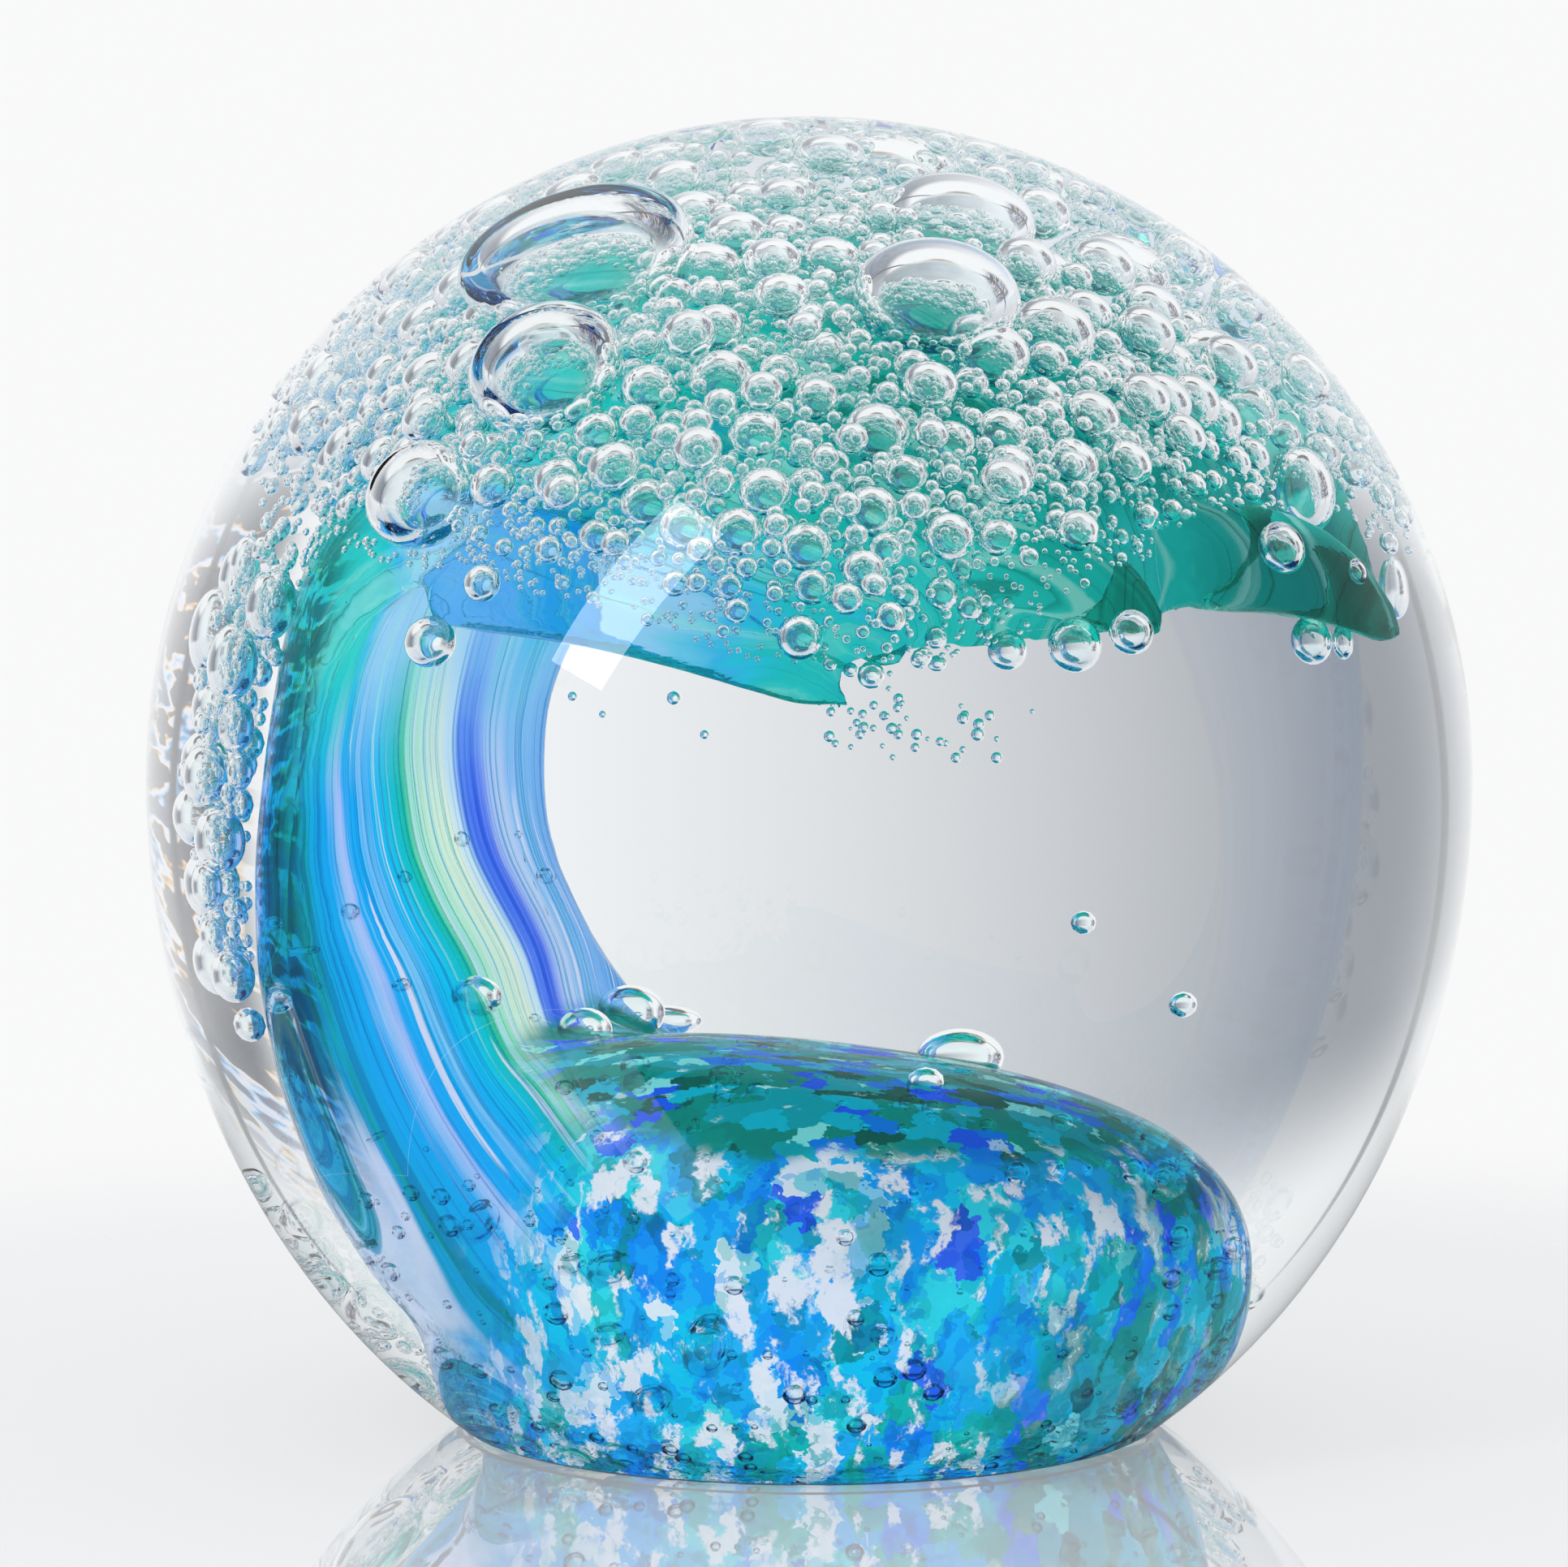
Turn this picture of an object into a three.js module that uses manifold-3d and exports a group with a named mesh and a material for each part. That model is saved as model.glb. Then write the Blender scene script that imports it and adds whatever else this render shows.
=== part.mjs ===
// Glass ocean wave ball: a clear glass ball on a flat ground base, with a curling wave of coloured
// glass and its foam cased inside. Millimetres, +Z up, origin at the middle of the base.
import * as THREE from "three";
import { mergeVertices } from "three/addons/utils/BufferGeometryUtils.js";
import Module from "manifold-3d";

const wasm = await Module();
wasm.setup();

// Clear ball
const ballRadius = 40;
const widestHeight = 39.3;
const lowerDrop = 46.1; // below its widest ring the ball is an ellipsoid this deep, cut by the base
const baseBevel = 0.5;
const clearance = 0.3; // between one body of glass and the next

// Body of the wave: a round mound of clear glass in a skin of frit, drawn in a little at its waist
const footRing = 1.6; // clear glass left round the foot at the base
const waistRadius = 16.9;
const waistHeight = 9;
const bodyRadius = 17.3;
const bodyOut = 1.4; // the body leans this far towards the lip
const bodyHeight = 27.4;
const shoulderHeight = 16;
const shoulderFullness = 2.8;
const bodySlope = 0.006; // share of its height that the body loses for each mm towards the lip
const skinThickness = 1.1;

// Curl: a broad tongue that runs back out of the top of the body, rises at the neck and breaks over
// towards the lip. Each station along it has the place of its middle line, its full thickness and
// width, and how far its two edges bend in towards the hollow. "Out" is measured from the ball's axis
// towards the lip, in the plane that the wave curls in.
const rootOut = 5;
const rootHeight = 15.5;
const rampOut = -4.5;
const rampHeight = 17;
const rampThickness = 17.5;
const rampWidth = 32;
const riseOut = -11.4;
const riseHeight = 20.8;
const riseThickness = 15;
const riseWidth = 30;
const sweepOut = -17;
const sweepHeight = 28;
const sweepThickness = 9.4;
const sweepWidth = 25.5;
const sweepBend = 0.5;
const neckOut = -19.4;
const neckHeight = 38;
const neckThickness = 5.2;
const neckWidth = 22;
const neckBend = 1;
const backOut = -17.5;
const backHeight = 48;
const backThickness = 5.6;
const backWidth = 29;
const backBend = 3;
const rollOut = -12;
const rollHeight = 54.6;
const rollWidth = 35;
const rollBend = 6;
const crestOut = -4;
const crestHeight = 58;
const crestThickness = 6.2;
const crestWidth = 40;
const crestBend = 8.5;
const browOut = 6;
const browHeight = 56.4;
const browThickness = 5.4;
const fallOut = 13.2;
const fallHeight = 53;
const fallThickness = 4.4;
const fallWidth = 36;
const fallBend = 6.5;
const lipOut = 17.5;
const lipHeight = 47;
const lipThickness = 2.6;
const lipWidth = 28;
const lipBend = 3.5;
const crestStart = -11.5; // the green crest takes over from the streaked curl here
const streakStart = 21; // height at which frit turns into streaks
const waveTurn = -35; // degrees that the wave's plane is turned about the ball's axis

// Foam: bubbles crowded over the crest, and a string of them down the back of the curl
const foamDepth = 2.8;
const foamStart = 0.46; // as shares of the curl's length
const foamEnd = 0.87;
const foamBubbles = 31;
const largestBubble = 4.4; // radii
const smallestBubble = 1.5;
const fineBubble = 3.4; // bubbles over this radius get finer faces
const trailBubbles = 15;
const trailBubble = 1.5;
const trailGap = 0.6; // clear glass between the trail and the back of the curl
const trailWander = 0.5;
const trailShare = -0.6; // how far towards the front edge of the curl the trail lies
const trailStart = 0.52;
const trailEnd = 0.22;
const bubbleSink = 1; // how far a bubble's centre lies below the top of the foam's layer
const crownSpread = 0.86; // share of the crest's half width that the bubbles' centres cover

// Fineness of the faceted surfaces
const ballFacets = 56;
const moundFacets = 34;
const limitFacets = 36;
const shoulderSteps = 8;

const colours = {
  clear: 0xeef4f6,
  frit: 0x1d8fc9,
  streaks: 0x2a9fe0,
  lip: 0x4cc4ee,
  crest: 0x1fae98,
  finger: 0x0c9a7c,
  foam: 0xe8f3f3,
};

// Stations of the curl from its root to the lip.
const curlStations = [
  { out: rootOut, up: rootHeight, thick: rampThickness, wide: rampWidth, bend: 0 },
  { out: rampOut, up: rampHeight, thick: rampThickness, wide: rampWidth, bend: 0 },
  { out: riseOut, up: riseHeight, thick: riseThickness, wide: riseWidth, bend: 0 },
  { out: sweepOut, up: sweepHeight, thick: sweepThickness, wide: sweepWidth, bend: sweepBend },
  { out: neckOut, up: neckHeight, thick: neckThickness, wide: neckWidth, bend: neckBend },
  { out: backOut, up: backHeight, thick: backThickness, wide: backWidth, bend: backBend },
  { out: rollOut, up: rollHeight, thick: crestThickness, wide: rollWidth, bend: rollBend },
  { out: crestOut, up: crestHeight, thick: crestThickness, wide: crestWidth, bend: crestBend },
  { out: browOut, up: browHeight, thick: browThickness, wide: crestWidth, bend: crestBend },
  { out: fallOut, up: fallHeight, thick: fallThickness, wide: fallWidth, bend: fallBend },
  { out: lipOut, up: lipHeight, thick: lipThickness, wide: lipWidth, bend: lipBend },
];

// Tips pulled out of the crest. Each starts inside the crest, at a share of the curl's length and a
// share of the half width across it, and runs forward by reach, sideways by drift and down by drop.
const tips = [
  {
    name: "curl_lip",
    colour: colours.lip,
    along: 0.57,
    share: -0.97,
    reach: 24.5,
    drift: 0.5,
    drop: 4.2,
    thick: 4,
    wide: 10.5,
  },
  {
    name: "crest_finger_point",
    colour: colours.finger,
    along: 0.93,
    share: -0.78,
    reach: 3.5,
    drift: -1.5,
    drop: 2,
    thick: 3,
    wide: 5,
  },
  {
    name: "crest_finger_middle",
    colour: colours.finger,
    along: 0.93,
    share: -0.3,
    reach: 9.5,
    drift: 1.5,
    drop: 2.6,
    thick: 4.6,
    wide: 8,
  },
  {
    name: "crest_finger_long",
    colour: colours.finger,
    along: 0.95,
    share: 0.3,
    reach: 9.8,
    drift: 9,
    drop: 3.6,
    thick: 5.2,
    wide: 9,
  },
  {
    name: "crest_finger_back",
    colour: colours.finger,
    along: 0.76,
    share: 0.9,
    reach: 11.5,
    drift: 2,
    drop: 7,
    thick: 3.6,
    wide: 5.5,
  },
];

const floor = -2; // cutters reach this far below the base
const wedge = 200; // side of the blocks that split a body
const tipMiddle = { reach: 0.5, drift: 0.6, drop: 0.2 }; // where a tip's middle lies on its run
const tipTaper = { middle: 0.87, endThick: 0.29, endWide: 0.25 }; // shares of a tip's size at its root

const baseRadius = ballRadius * Math.sqrt(1 - (widestHeight / lowerDrop) ** 2);
const up = new THREE.Vector3(0, 0, 1);
const waveAngle = THREE.MathUtils.degToRad(waveTurn);

// A closed three.js geometry as a solid that can be joined and cut.
function solid(geometry) {
  geometry.deleteAttribute("normal");
  geometry.deleteAttribute("uv");
  const merged = mergeVertices(geometry, 1e-4);
  const index = merged.index.array;
  const kept = [];
  for (let i = 0; i < index.length; i += 3) {
    const [a, b, c] = index.subarray(i, i + 3);
    if (a !== b && b !== c && c !== a) kept.push(a, b, c);
  }
  return new wasm.Manifold(
    new wasm.Mesh({
      numProp: 3,
      vertProperties: merged.attributes.position.array,
      triVerts: new Uint32Array(kept),
    }),
  );
}

// The biggest of the bodies that a cut leaves.
function largest(body) {
  return body.decompose().reduce((best, next) => (next.volume() > best.volume() ? next : best));
}

function joined(solids) {
  return solids.reduce((whole, next) => whole.add(next));
}

// A profile turned about the vertical axis. start is the angle of its first facet's edge.
function turned(points, segments, start = 0) {
  const geometry = new THREE.LatheGeometry(points, segments, start);
  geometry.rotateX(Math.PI / 2);
  return solid(geometry);
}

// Half section of the ball, set in from its surface by inset, down to the height bottom.
function ballProfile(inset, bottom, bevel, rings) {
  const points = [new THREE.Vector2(0, bottom)];
  const lowest = -Math.asin((widestHeight - bevel) / lowerDrop);
  const foot = bevel ? baseRadius - bevel : (ballRadius - inset) * Math.cos(lowest);
  points.push(new THREE.Vector2(foot, bottom));
  for (let i = 0; i <= rings; i += 1) {
    const angle = lowest + ((Math.PI / 2 - lowest) * i) / rings;
    const drop = angle < 0 ? lowerDrop : ballRadius;
    const radius = i === rings ? 0 : (ballRadius - inset) * Math.cos(angle);
    points.push(new THREE.Vector2(radius, widestHeight + (drop - inset) * Math.sin(angle)));
  }
  return points;
}

// Round mound of the wave's body, grown all over by grow.
function mound(grow) {
  const points = [new THREE.Vector2(0, floor)];
  const foot = baseRadius - footRing + grow;
  points.push(new THREE.Vector2(foot, floor));
  points.push(new THREE.Vector2(foot, 0));
  for (const drawnIn of [0.35, 0.7, 1]) {
    const radius = THREE.MathUtils.lerp(foot, waistRadius + grow, Math.sqrt(drawnIn));
    points.push(new THREE.Vector2(radius, drawnIn * waistHeight));
  }
  for (let i = 0; i <= shoulderSteps; i += 1) {
    const angle = (Math.PI / 2) * (i / shoulderSteps);
    const radius = (bodyRadius + grow) * Math.cos(angle) ** (2 / shoulderFullness);
    const rise = (bodyHeight - shoulderHeight + grow) * Math.sin(angle) ** (2 / shoulderFullness);
    points.push(new THREE.Vector2(i === shoulderSteps ? 0 : radius, shoulderHeight + rise));
  }
  const geometry = new THREE.LatheGeometry(points, moundFacets);
  geometry.rotateX(Math.PI / 2);
  const place = geometry.attributes.position;
  for (let i = 0; i < place.count; i += 1) {
    const z = place.getZ(i);
    if (z <= 0) continue;
    place.setZ(i, z * (1 - bodySlope * place.getX(i)));
    place.setX(i, place.getX(i) + bodyOut * THREE.MathUtils.smoothstep(z, 0, waistHeight));
  }
  return solid(geometry);
}

// A tongue of glass along a path. sizes gives half thickness, half width and edge bend along it, and
// across(tangent) gives the direction of its width. Both ends are round.
function tongue({ path, sizes, across, rings, sides, roundShare, grow }) {
  const geometry = new THREE.SphereGeometry(1, sides, rings);
  const place = geometry.attributes.position;
  const vertex = new THREE.Vector3();
  for (let i = 0; i < place.count; i += 1) {
    vertex.fromBufferAttribute(place, i);
    const along = Math.acos(THREE.MathUtils.clamp(vertex.y, -1, 1)) / Math.PI;
    const turn = Math.atan2(vertex.z, vertex.x);
    const atPole = along < 1e-4 || along > 1 - 1e-4;
    const fromEnd = Math.min(along, 1 - along) / roundShare;
    const round = atPole ? 0 : Math.sqrt(1 - Math.max(0, 1 - fromEnd) ** 2);
    const tangent = path.getTangent(along);
    const sideways = across(tangent);
    const outward = new THREE.Vector3().crossVectors(tangent, sideways).normalize();
    const [thick, wide, bend] = sizes.getPoint(along).toArray();
    const aside = Math.cos(turn) * round * (wide + grow);
    const rise = Math.sin(turn) * round * (thick + grow) - bend * (aside / wide) ** 2;
    const reach = Math.max(0, 1 - fromEnd) * grow * (along < 0.5 ? -1 : 1);
    place.setXYZ(
      i,
      ...path
        .getPoint(along)
        .addScaledVector(sideways, aside)
        .addScaledVector(outward, rise)
        .addScaledVector(tangent, reach)
        .toArray(),
    );
  }
  return solid(geometry);
}

function curveOf(triples) {
  return new THREE.CatmullRomCurve3(triples.map((triple) => new THREE.Vector3(...triple)));
}

const curlPath = curveOf(curlStations.map(({ out, up: height }) => [out, 0, height]));
const curlSizes = curveOf(curlStations.map(({ thick, wide, bend }) => [thick / 2, wide / 2, bend]));
const alongHollow = () => new THREE.Vector3(0, 1, 0);

function curl(grow) {
  return tongue({
    path: curlPath,
    sizes: curlSizes,
    across: alongHollow,
    rings: 24,
    sides: 16,
    roundShare: 0.06,
    grow,
  });
}

// Everything inside the ball stays within this skin of clear glass.
function limit(grow, bottom) {
  return turned(ballProfile(footRing - grow, bottom, 0, 10), limitFacets);
}

// The whole wave without its tips, grown by grow. Pieces stop at the base, cutters go through it.
function wave(grow, bottom) {
  return mound(grow).add(curl(grow)).intersect(limit(grow, bottom));
}

function block(lowX, highX, lowZ, highZ) {
  const geometry = new THREE.BoxGeometry(highX - lowX, wedge, highZ - lowZ);
  geometry.translate((lowX + highX) / 2, 0, (lowZ + highZ) / 2);
  return solid(geometry);
}

// The crest's share of the wave: past crestStart and above the hollow.
function crestRegion(gap) {
  return block(crestStart + gap, wedge, neckHeight, wedge);
}

// The streaked share: the curl above streakStart and short of the crest.
function streakRegion(gap) {
  return block(-wedge, crestStart - gap, streakStart + gap, wedge);
}

// Point in the middle of the curl's thickness. share runs from -1 to 1 across it.
function inCurl(along, share) {
  const tangent = curlPath.getTangent(along);
  const outward = new THREE.Vector3().crossVectors(tangent, alongHollow()).normalize();
  const [thick, wide, bend] = curlSizes.getPoint(along).toArray();
  const point = curlPath
    .getPoint(along)
    .add(new THREE.Vector3(0, share * wide, 0))
    .addScaledVector(outward, -bend * share * share);
  return { point, outward, thick: thick * Math.sqrt(1 - share * share) };
}

function pulledTip({ along, share, reach, drift, drop, thick, wide }, grow) {
  const { point } = inCurl(along, share);
  const run = new THREE.Vector3(reach, drift, -drop);
  const { reach: ahead, drift: aside, drop: below } = tipMiddle;
  const pass = point.clone().add(run.clone().multiply(new THREE.Vector3(ahead, aside, below)));
  const end = point.clone().add(run);
  return tongue({
    path: new THREE.CatmullRomCurve3([point, pass, end]),
    sizes: curveOf([
      [thick / 2, wide / 2, 0],
      [(thick / 2) * tipTaper.middle, (wide / 2) * tipTaper.middle, 0],
      [(thick / 2) * tipTaper.endThick, (wide / 2) * tipTaper.endWide, 0],
    ]),
    across: (tangent) => new THREE.Vector3().crossVectors(up, tangent).normalize(),
    rings: 9,
    sides: 10,
    roundShare: 0.16,
    grow,
  });
}

// Point on the outer face of the curl, and the way out of it. share runs from -1 to 1 across it.
function onCurl(along, share) {
  const { point, outward, thick } = inCurl(along, share);
  point.addScaledVector(outward, thick);
  return { point, outward };
}

function ball(centre, radius, detail) {
  const geometry = new THREE.IcosahedronGeometry(radius, detail);
  geometry.translate(centre.x, centre.y, centre.z);
  return solid(geometry);
}

const chance = (seed) => THREE.MathUtils.seededRandom(seed);

// Bubbles on the crest, spread like the seeds of a sunflower and largest in the middle.
function crestBubbles(grow) {
  const goldenAngle = Math.PI * (3 - Math.sqrt(5));
  const bubbles = [];
  for (let i = 0; i < foamBubbles; i += 1) {
    const spread = Math.sqrt((i + 0.5) / foamBubbles);
    const turn = i * goldenAngle;
    const along = (foamStart + foamEnd) / 2 + ((foamEnd - foamStart) / 2) * spread * Math.cos(turn);
    const { point, outward } = onCurl(along, crownSpread * spread * Math.sin(turn));
    const size = (1 - spread) * (0.5 + 0.5 * chance(i + 1)) + 0.25 * chance(i + 301);
    const radius = THREE.MathUtils.lerp(smallestBubble, largestBubble, Math.min(1, size));
    point.addScaledVector(outward, foamDepth - bubbleSink);
    bubbles.push(ball(point, radius + grow, radius > fineBubble ? 2 : 1));
  }
  return joined(bubbles);
}

// The layer that the crest's bubbles lie in: as wide as the crest and foamDepth above it.
function foamBed(grow) {
  const places = [];
  const sizes = [];
  const stations = 8;
  for (let i = 0; i < stations; i += 1) {
    const along = THREE.MathUtils.lerp(foamStart, foamEnd, i / (stations - 1));
    const { point, outward, thick } = inCurl(along, 0);
    const [, wide, bend] = curlSizes.getPoint(along).toArray();
    places.push(point.addScaledVector(outward, foamDepth));
    sizes.push([thick, wide, bend]);
  }
  return tongue({
    path: new THREE.CatmullRomCurve3(places),
    sizes: curveOf(sizes),
    across: alongHollow,
    rings: 14,
    sides: 16,
    roundShare: 0.1,
    grow,
  });
}

// Middle of the trail, from inside the foam on the crest down the back of the curl.
function trailPath() {
  const places = [];
  const stations = 7;
  for (let i = 0; i < stations; i += 1) {
    const share = i / (stations - 1);
    const along = THREE.MathUtils.lerp(trailStart, trailEnd, share);
    const { point, outward } = onCurl(along, trailShare);
    const away = THREE.MathUtils.smoothstep(share, 0, 0.3) * trailGap + trailBubble;
    places.push(point.addScaledVector(outward, away));
  }
  return new THREE.CatmullRomCurve3(places);
}

function foamTrail() {
  const path = trailPath();
  const bubbles = [];
  for (let i = 0; i < trailBubbles; i += 1) {
    const place = path.getPointAt(i / (trailBubbles - 1));
    place.x += trailWander * (chance(i + 40) - 0.5);
    place.y += trailWander * (chance(i + 80) - 0.5);
    bubbles.push(ball(place, trailBubble * (0.88 + 0.12 * chance(i + 120)), 1));
  }
  return joined(bubbles);
}

function trailTube(grow) {
  const radius = trailBubble + trailWander / 2;
  return tongue({
    path: trailPath(),
    sizes: curveOf([
      [radius, radius, 0],
      [radius, radius, 0],
    ]),
    across: alongHollow,
    rings: 16,
    sides: 10,
    roundShare: 0.06,
    grow: grow + trailWander / 2,
  });
}

const group = new THREE.Group();
group.rotation.z = waveAngle;

function add(name, body, colour, roughness) {
  const { vertProperties, triVerts } = body.getMesh();
  const geometry = new THREE.BufferGeometry();
  geometry.setAttribute("position", new THREE.BufferAttribute(vertProperties, 3));
  geometry.setIndex(new THREE.BufferAttribute(triVerts, 1));
  geometry.computeVertexNormals();
  const material = new THREE.MeshStandardMaterial({ color: colour, roughness, metalness: 0 });
  const mesh = new THREE.Mesh(geometry, material);
  mesh.name = name;
  group.add(mesh);
}

// The wave: core and skin, split into frit and streaks, then the crest, which is coloured through.
const whole = wave(0, 0);
const inner = wave(-skinThickness, floor);
const core = wave(-skinThickness - clearance, 0).subtract(crestRegion(-clearance));
const skin = whole.subtract(inner).subtract(crestRegion(-clearance));
const fritSkin = skin.subtract(streakRegion(-clearance / 2));
const curlSkin = skin.intersect(streakRegion(clearance / 2));
const crest = whole.intersect(crestRegion(0));
const waveRoom = wave(clearance, floor);

// The pulled tips lie on the crest and are cut to it.
const limitRoom = limit(0, 0);
const drawnTips = tips.map((tip) => largest(pulledTip(tip, 0).intersect(limitRoom).subtract(waveRoom)));
const tipRoom = joined(tips.map((tip) => pulledTip(tip, clearance)));

const foamRise = largestBubble - bubbleSink;
const foamRoom = foamBed(foamRise + clearance);
const carried = waveRoom.add(tipRoom);
const crown = foamBed(0).add(crestBubbles(0)).intersect(foamBed(foamRise)).intersect(limitRoom);
const crownRoom = foamBed(clearance).add(crestBubbles(clearance));
const trail = foamTrail().intersect(trailTube(0)).intersect(limitRoom).subtract(carried);

const hollow = carried.add(foamRoom).add(trailTube(clearance)).intersect(limit(clearance, floor));
const casing = turned(ballProfile(0, 0, baseBevel, 15), ballFacets, -waveAngle).subtract(hollow);

add("clear_casing", casing, colours.clear, 0.02);
add("clear_core", core, colours.clear, 0.02);
add("frit_skin", fritSkin, colours.frit, 0.05);
add("curl_skin", curlSkin, colours.streaks, 0.05);
add("crest_sheet", crest, colours.crest, 0.05);
drawnTips.forEach((tip, i) => add(tips[i].name, tip, tips[i].colour, 0.05));
add("foam_crown", crown.subtract(carried), colours.foam, 0.1);
add("foam_trail", largest(trail.subtract(crownRoom)), colours.foam, 0.1);

export default group;
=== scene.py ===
import math

import bpy
import numpy as np
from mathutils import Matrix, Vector
from mathutils.bvhtree import BVHTree


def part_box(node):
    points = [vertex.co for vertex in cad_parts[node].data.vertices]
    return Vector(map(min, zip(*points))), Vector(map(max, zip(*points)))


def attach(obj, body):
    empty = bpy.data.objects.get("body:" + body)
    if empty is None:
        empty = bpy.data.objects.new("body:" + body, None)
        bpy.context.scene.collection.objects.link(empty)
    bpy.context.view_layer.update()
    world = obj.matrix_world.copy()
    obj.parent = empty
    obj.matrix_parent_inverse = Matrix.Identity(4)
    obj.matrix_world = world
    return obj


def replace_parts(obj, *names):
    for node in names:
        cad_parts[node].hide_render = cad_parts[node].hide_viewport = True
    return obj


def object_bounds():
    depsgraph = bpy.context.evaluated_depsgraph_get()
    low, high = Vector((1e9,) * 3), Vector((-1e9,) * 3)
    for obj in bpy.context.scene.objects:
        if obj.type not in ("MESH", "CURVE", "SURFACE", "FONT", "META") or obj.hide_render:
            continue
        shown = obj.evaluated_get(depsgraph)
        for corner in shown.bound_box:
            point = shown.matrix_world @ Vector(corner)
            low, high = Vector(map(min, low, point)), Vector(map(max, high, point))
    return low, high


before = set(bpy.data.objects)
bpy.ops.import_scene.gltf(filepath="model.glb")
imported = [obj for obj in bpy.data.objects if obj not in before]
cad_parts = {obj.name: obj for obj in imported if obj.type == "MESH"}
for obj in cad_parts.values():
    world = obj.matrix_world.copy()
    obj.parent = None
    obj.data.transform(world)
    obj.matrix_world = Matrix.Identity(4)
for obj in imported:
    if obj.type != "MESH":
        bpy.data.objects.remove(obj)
cad_low, cad_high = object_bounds()


# Camera. A long lens a little above the middle of the ball, as such an ornament is photographed. The
# ball stands slightly right of the picture's middle.
ball_middle = 0.0393
camera_distance = 0.597
camera_rise = math.radians(7.2)
picture_width = 1932
picture_height = 1931
ball_right_of_middle = 31
ball_above_middle = 5
lens = 227
sensor = 36
nearest_seen = 0.01

camera_place = Vector((0, -camera_distance * math.cos(camera_rise),
                       ball_middle + camera_distance * math.sin(camera_rise)))
camera_turn = (math.pi / 2 - camera_rise, 0, 0)
bpy.ops.object.select_all(action="DESELECT")
bpy.ops.object.camera_add(location=camera_place, rotation=camera_turn)
camera = bpy.context.object
camera.data.lens = lens
camera.data.sensor_width = sensor
camera.data.shift_x = -ball_right_of_middle / picture_width
camera.data.shift_y = -ball_above_middle / picture_width
camera.data.clip_start = nearest_seen
scene = bpy.context.scene
scene.camera = camera
scene.view_settings.view_transform = "Standard"
scene.cycles.max_bounces = 40
scene.cycles.transmission_bounces = 40
scene.cycles.glossy_bounces = 12
scene.cycles.transparent_max_bounces = 16


# Studio. A white room that lights the ornament evenly. Through the glass its sides are grey, with
# striped panels on the right, a thin grey line on each side and a ring in the ceiling. What the glass
# mirrors is dark on the camera's side. Angles here are in degrees, and 0 is straight behind the ball.
wall_tone = (0.945, 0.947, 0.95, 1)
floor_tone = (0.872, 0.876, 0.89, 1)
room_light = (0.85, 0.85, 0.85, 1)
camera_side = (0.16, 0.165, 0.18, 1)
behind_camera_turn = (22, 75)
front_white = (0.985, 0.99, 1.0, 1)
side_grey = (0.28, 0.3, 0.34, 1)
left_grey = (-55, 85, 0)
right_grey = (70, 30, 10)
side_rise = (26, 9)
panel_side = (64, 24, 13)
panel_rise = (30, math.degrees(0.25))
panel_grain = (2.5, 16.0)
panel_colours = [
    (0.0, (0.14, 0.145, 0.16, 1)), (0.49, (0.22, 0.225, 0.25, 1)), (0.505, (1.0, 0.6, 0.25, 1)),
    (0.52, (0.95, 0.95, 1.0, 1)), (0.555, (0.85, 0.85, 1.0, 1)), (0.57, (0.3, 0.65, 1.0, 1)),
    (0.59, (0.26, 0.25, 0.32, 1)), (1.0, (0.16, 0.17, 0.19, 1))]
table_rise = (-26, -34)
ceiling_grey = (0.2, 0.205, 0.22, 1)
ring_low_edge = (56, 62)
ring_high_edge = (80, 74)
fringe_strength = 1.8
warm_fringe = (1.0, 0.62, 0.28, 1)
cool_fringe = (0.2, 0.55, 1.0, 1)
line_turn = 64
line_width = 2.5
line_grey = (0.15, 0.155, 0.17, 1)
horizon_rise = (-9.2, -11)


def linear(code):
    """A screen colour such as "#1d8fc9" as the linear colour that a shader takes."""
    channels = [int(code[i:i + 2], 16) / 255 for i in (1, 3, 5)]
    return tuple(c / 12.92 if c < 0.04045 else ((c + 0.055) / 1.055) ** 2.4 for c in channels) + (1,)


class Tree:
    """Short calls that add nodes to one node tree and link them."""

    def __init__(self, tree):
        self.tree = tree

    def node(self, kind, links=None, **settings):
        made = self.tree.nodes.new("ShaderNode" + kind)
        for name, value in settings.items():
            setattr(made, name, value)
        for socket, value in (links or {}).items():
            if isinstance(value, bpy.types.NodeSocket):
                self.tree.links.new(value, made.inputs[socket])
            else:
                made.inputs[socket].default_value = value
        return made

    def math(self, operation, *values, clamp=False):
        made = self.node("Math", dict(enumerate(values)), operation=operation, use_clamp=clamp)
        return made.outputs[0]

    def vector(self, operation, *values):
        made = self.node("VectorMath", dict(enumerate(values)), operation=operation)
        return made.outputs["Value" if operation == "LENGTH" else "Vector"]

    def smooth(self, value, low, high, start=0.0, end=1.0):
        links = {"Value": value, "From Min": low, "From Max": high, "To Min": start, "To Max": end}
        return self.node("MapRange", links, interpolation_type="SMOOTHSTEP").outputs["Result"]

    def mix(self, share, first, second, blend="MIX"):
        made = self.node("Mix", {0: share, 6: first, 7: second}, data_type="RGBA", blend_type=blend)
        return made.outputs[2]

    def noise(self, place, scale, detail=2.0, rough=0.5, warp=0.0):
        links = {"Vector": place, "Scale": scale, "Detail": detail, "Roughness": rough,
                 "Distortion": warp}
        return self.node("TexNoise", links).outputs["Fac"]

    def ramp(self, value, stops, kind="LINEAR"):
        made = self.node("ValToRGB", {"Fac": value})
        ramp = made.color_ramp
        ramp.interpolation = kind
        for i, (place, colour) in enumerate(stops):
            stop = ramp.elements[i] if i < 2 else ramp.elements.new(place)
            stop.position = place
            stop.color = linear(colour) if isinstance(colour, str) else colour
        return made.outputs["Color"]


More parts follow.
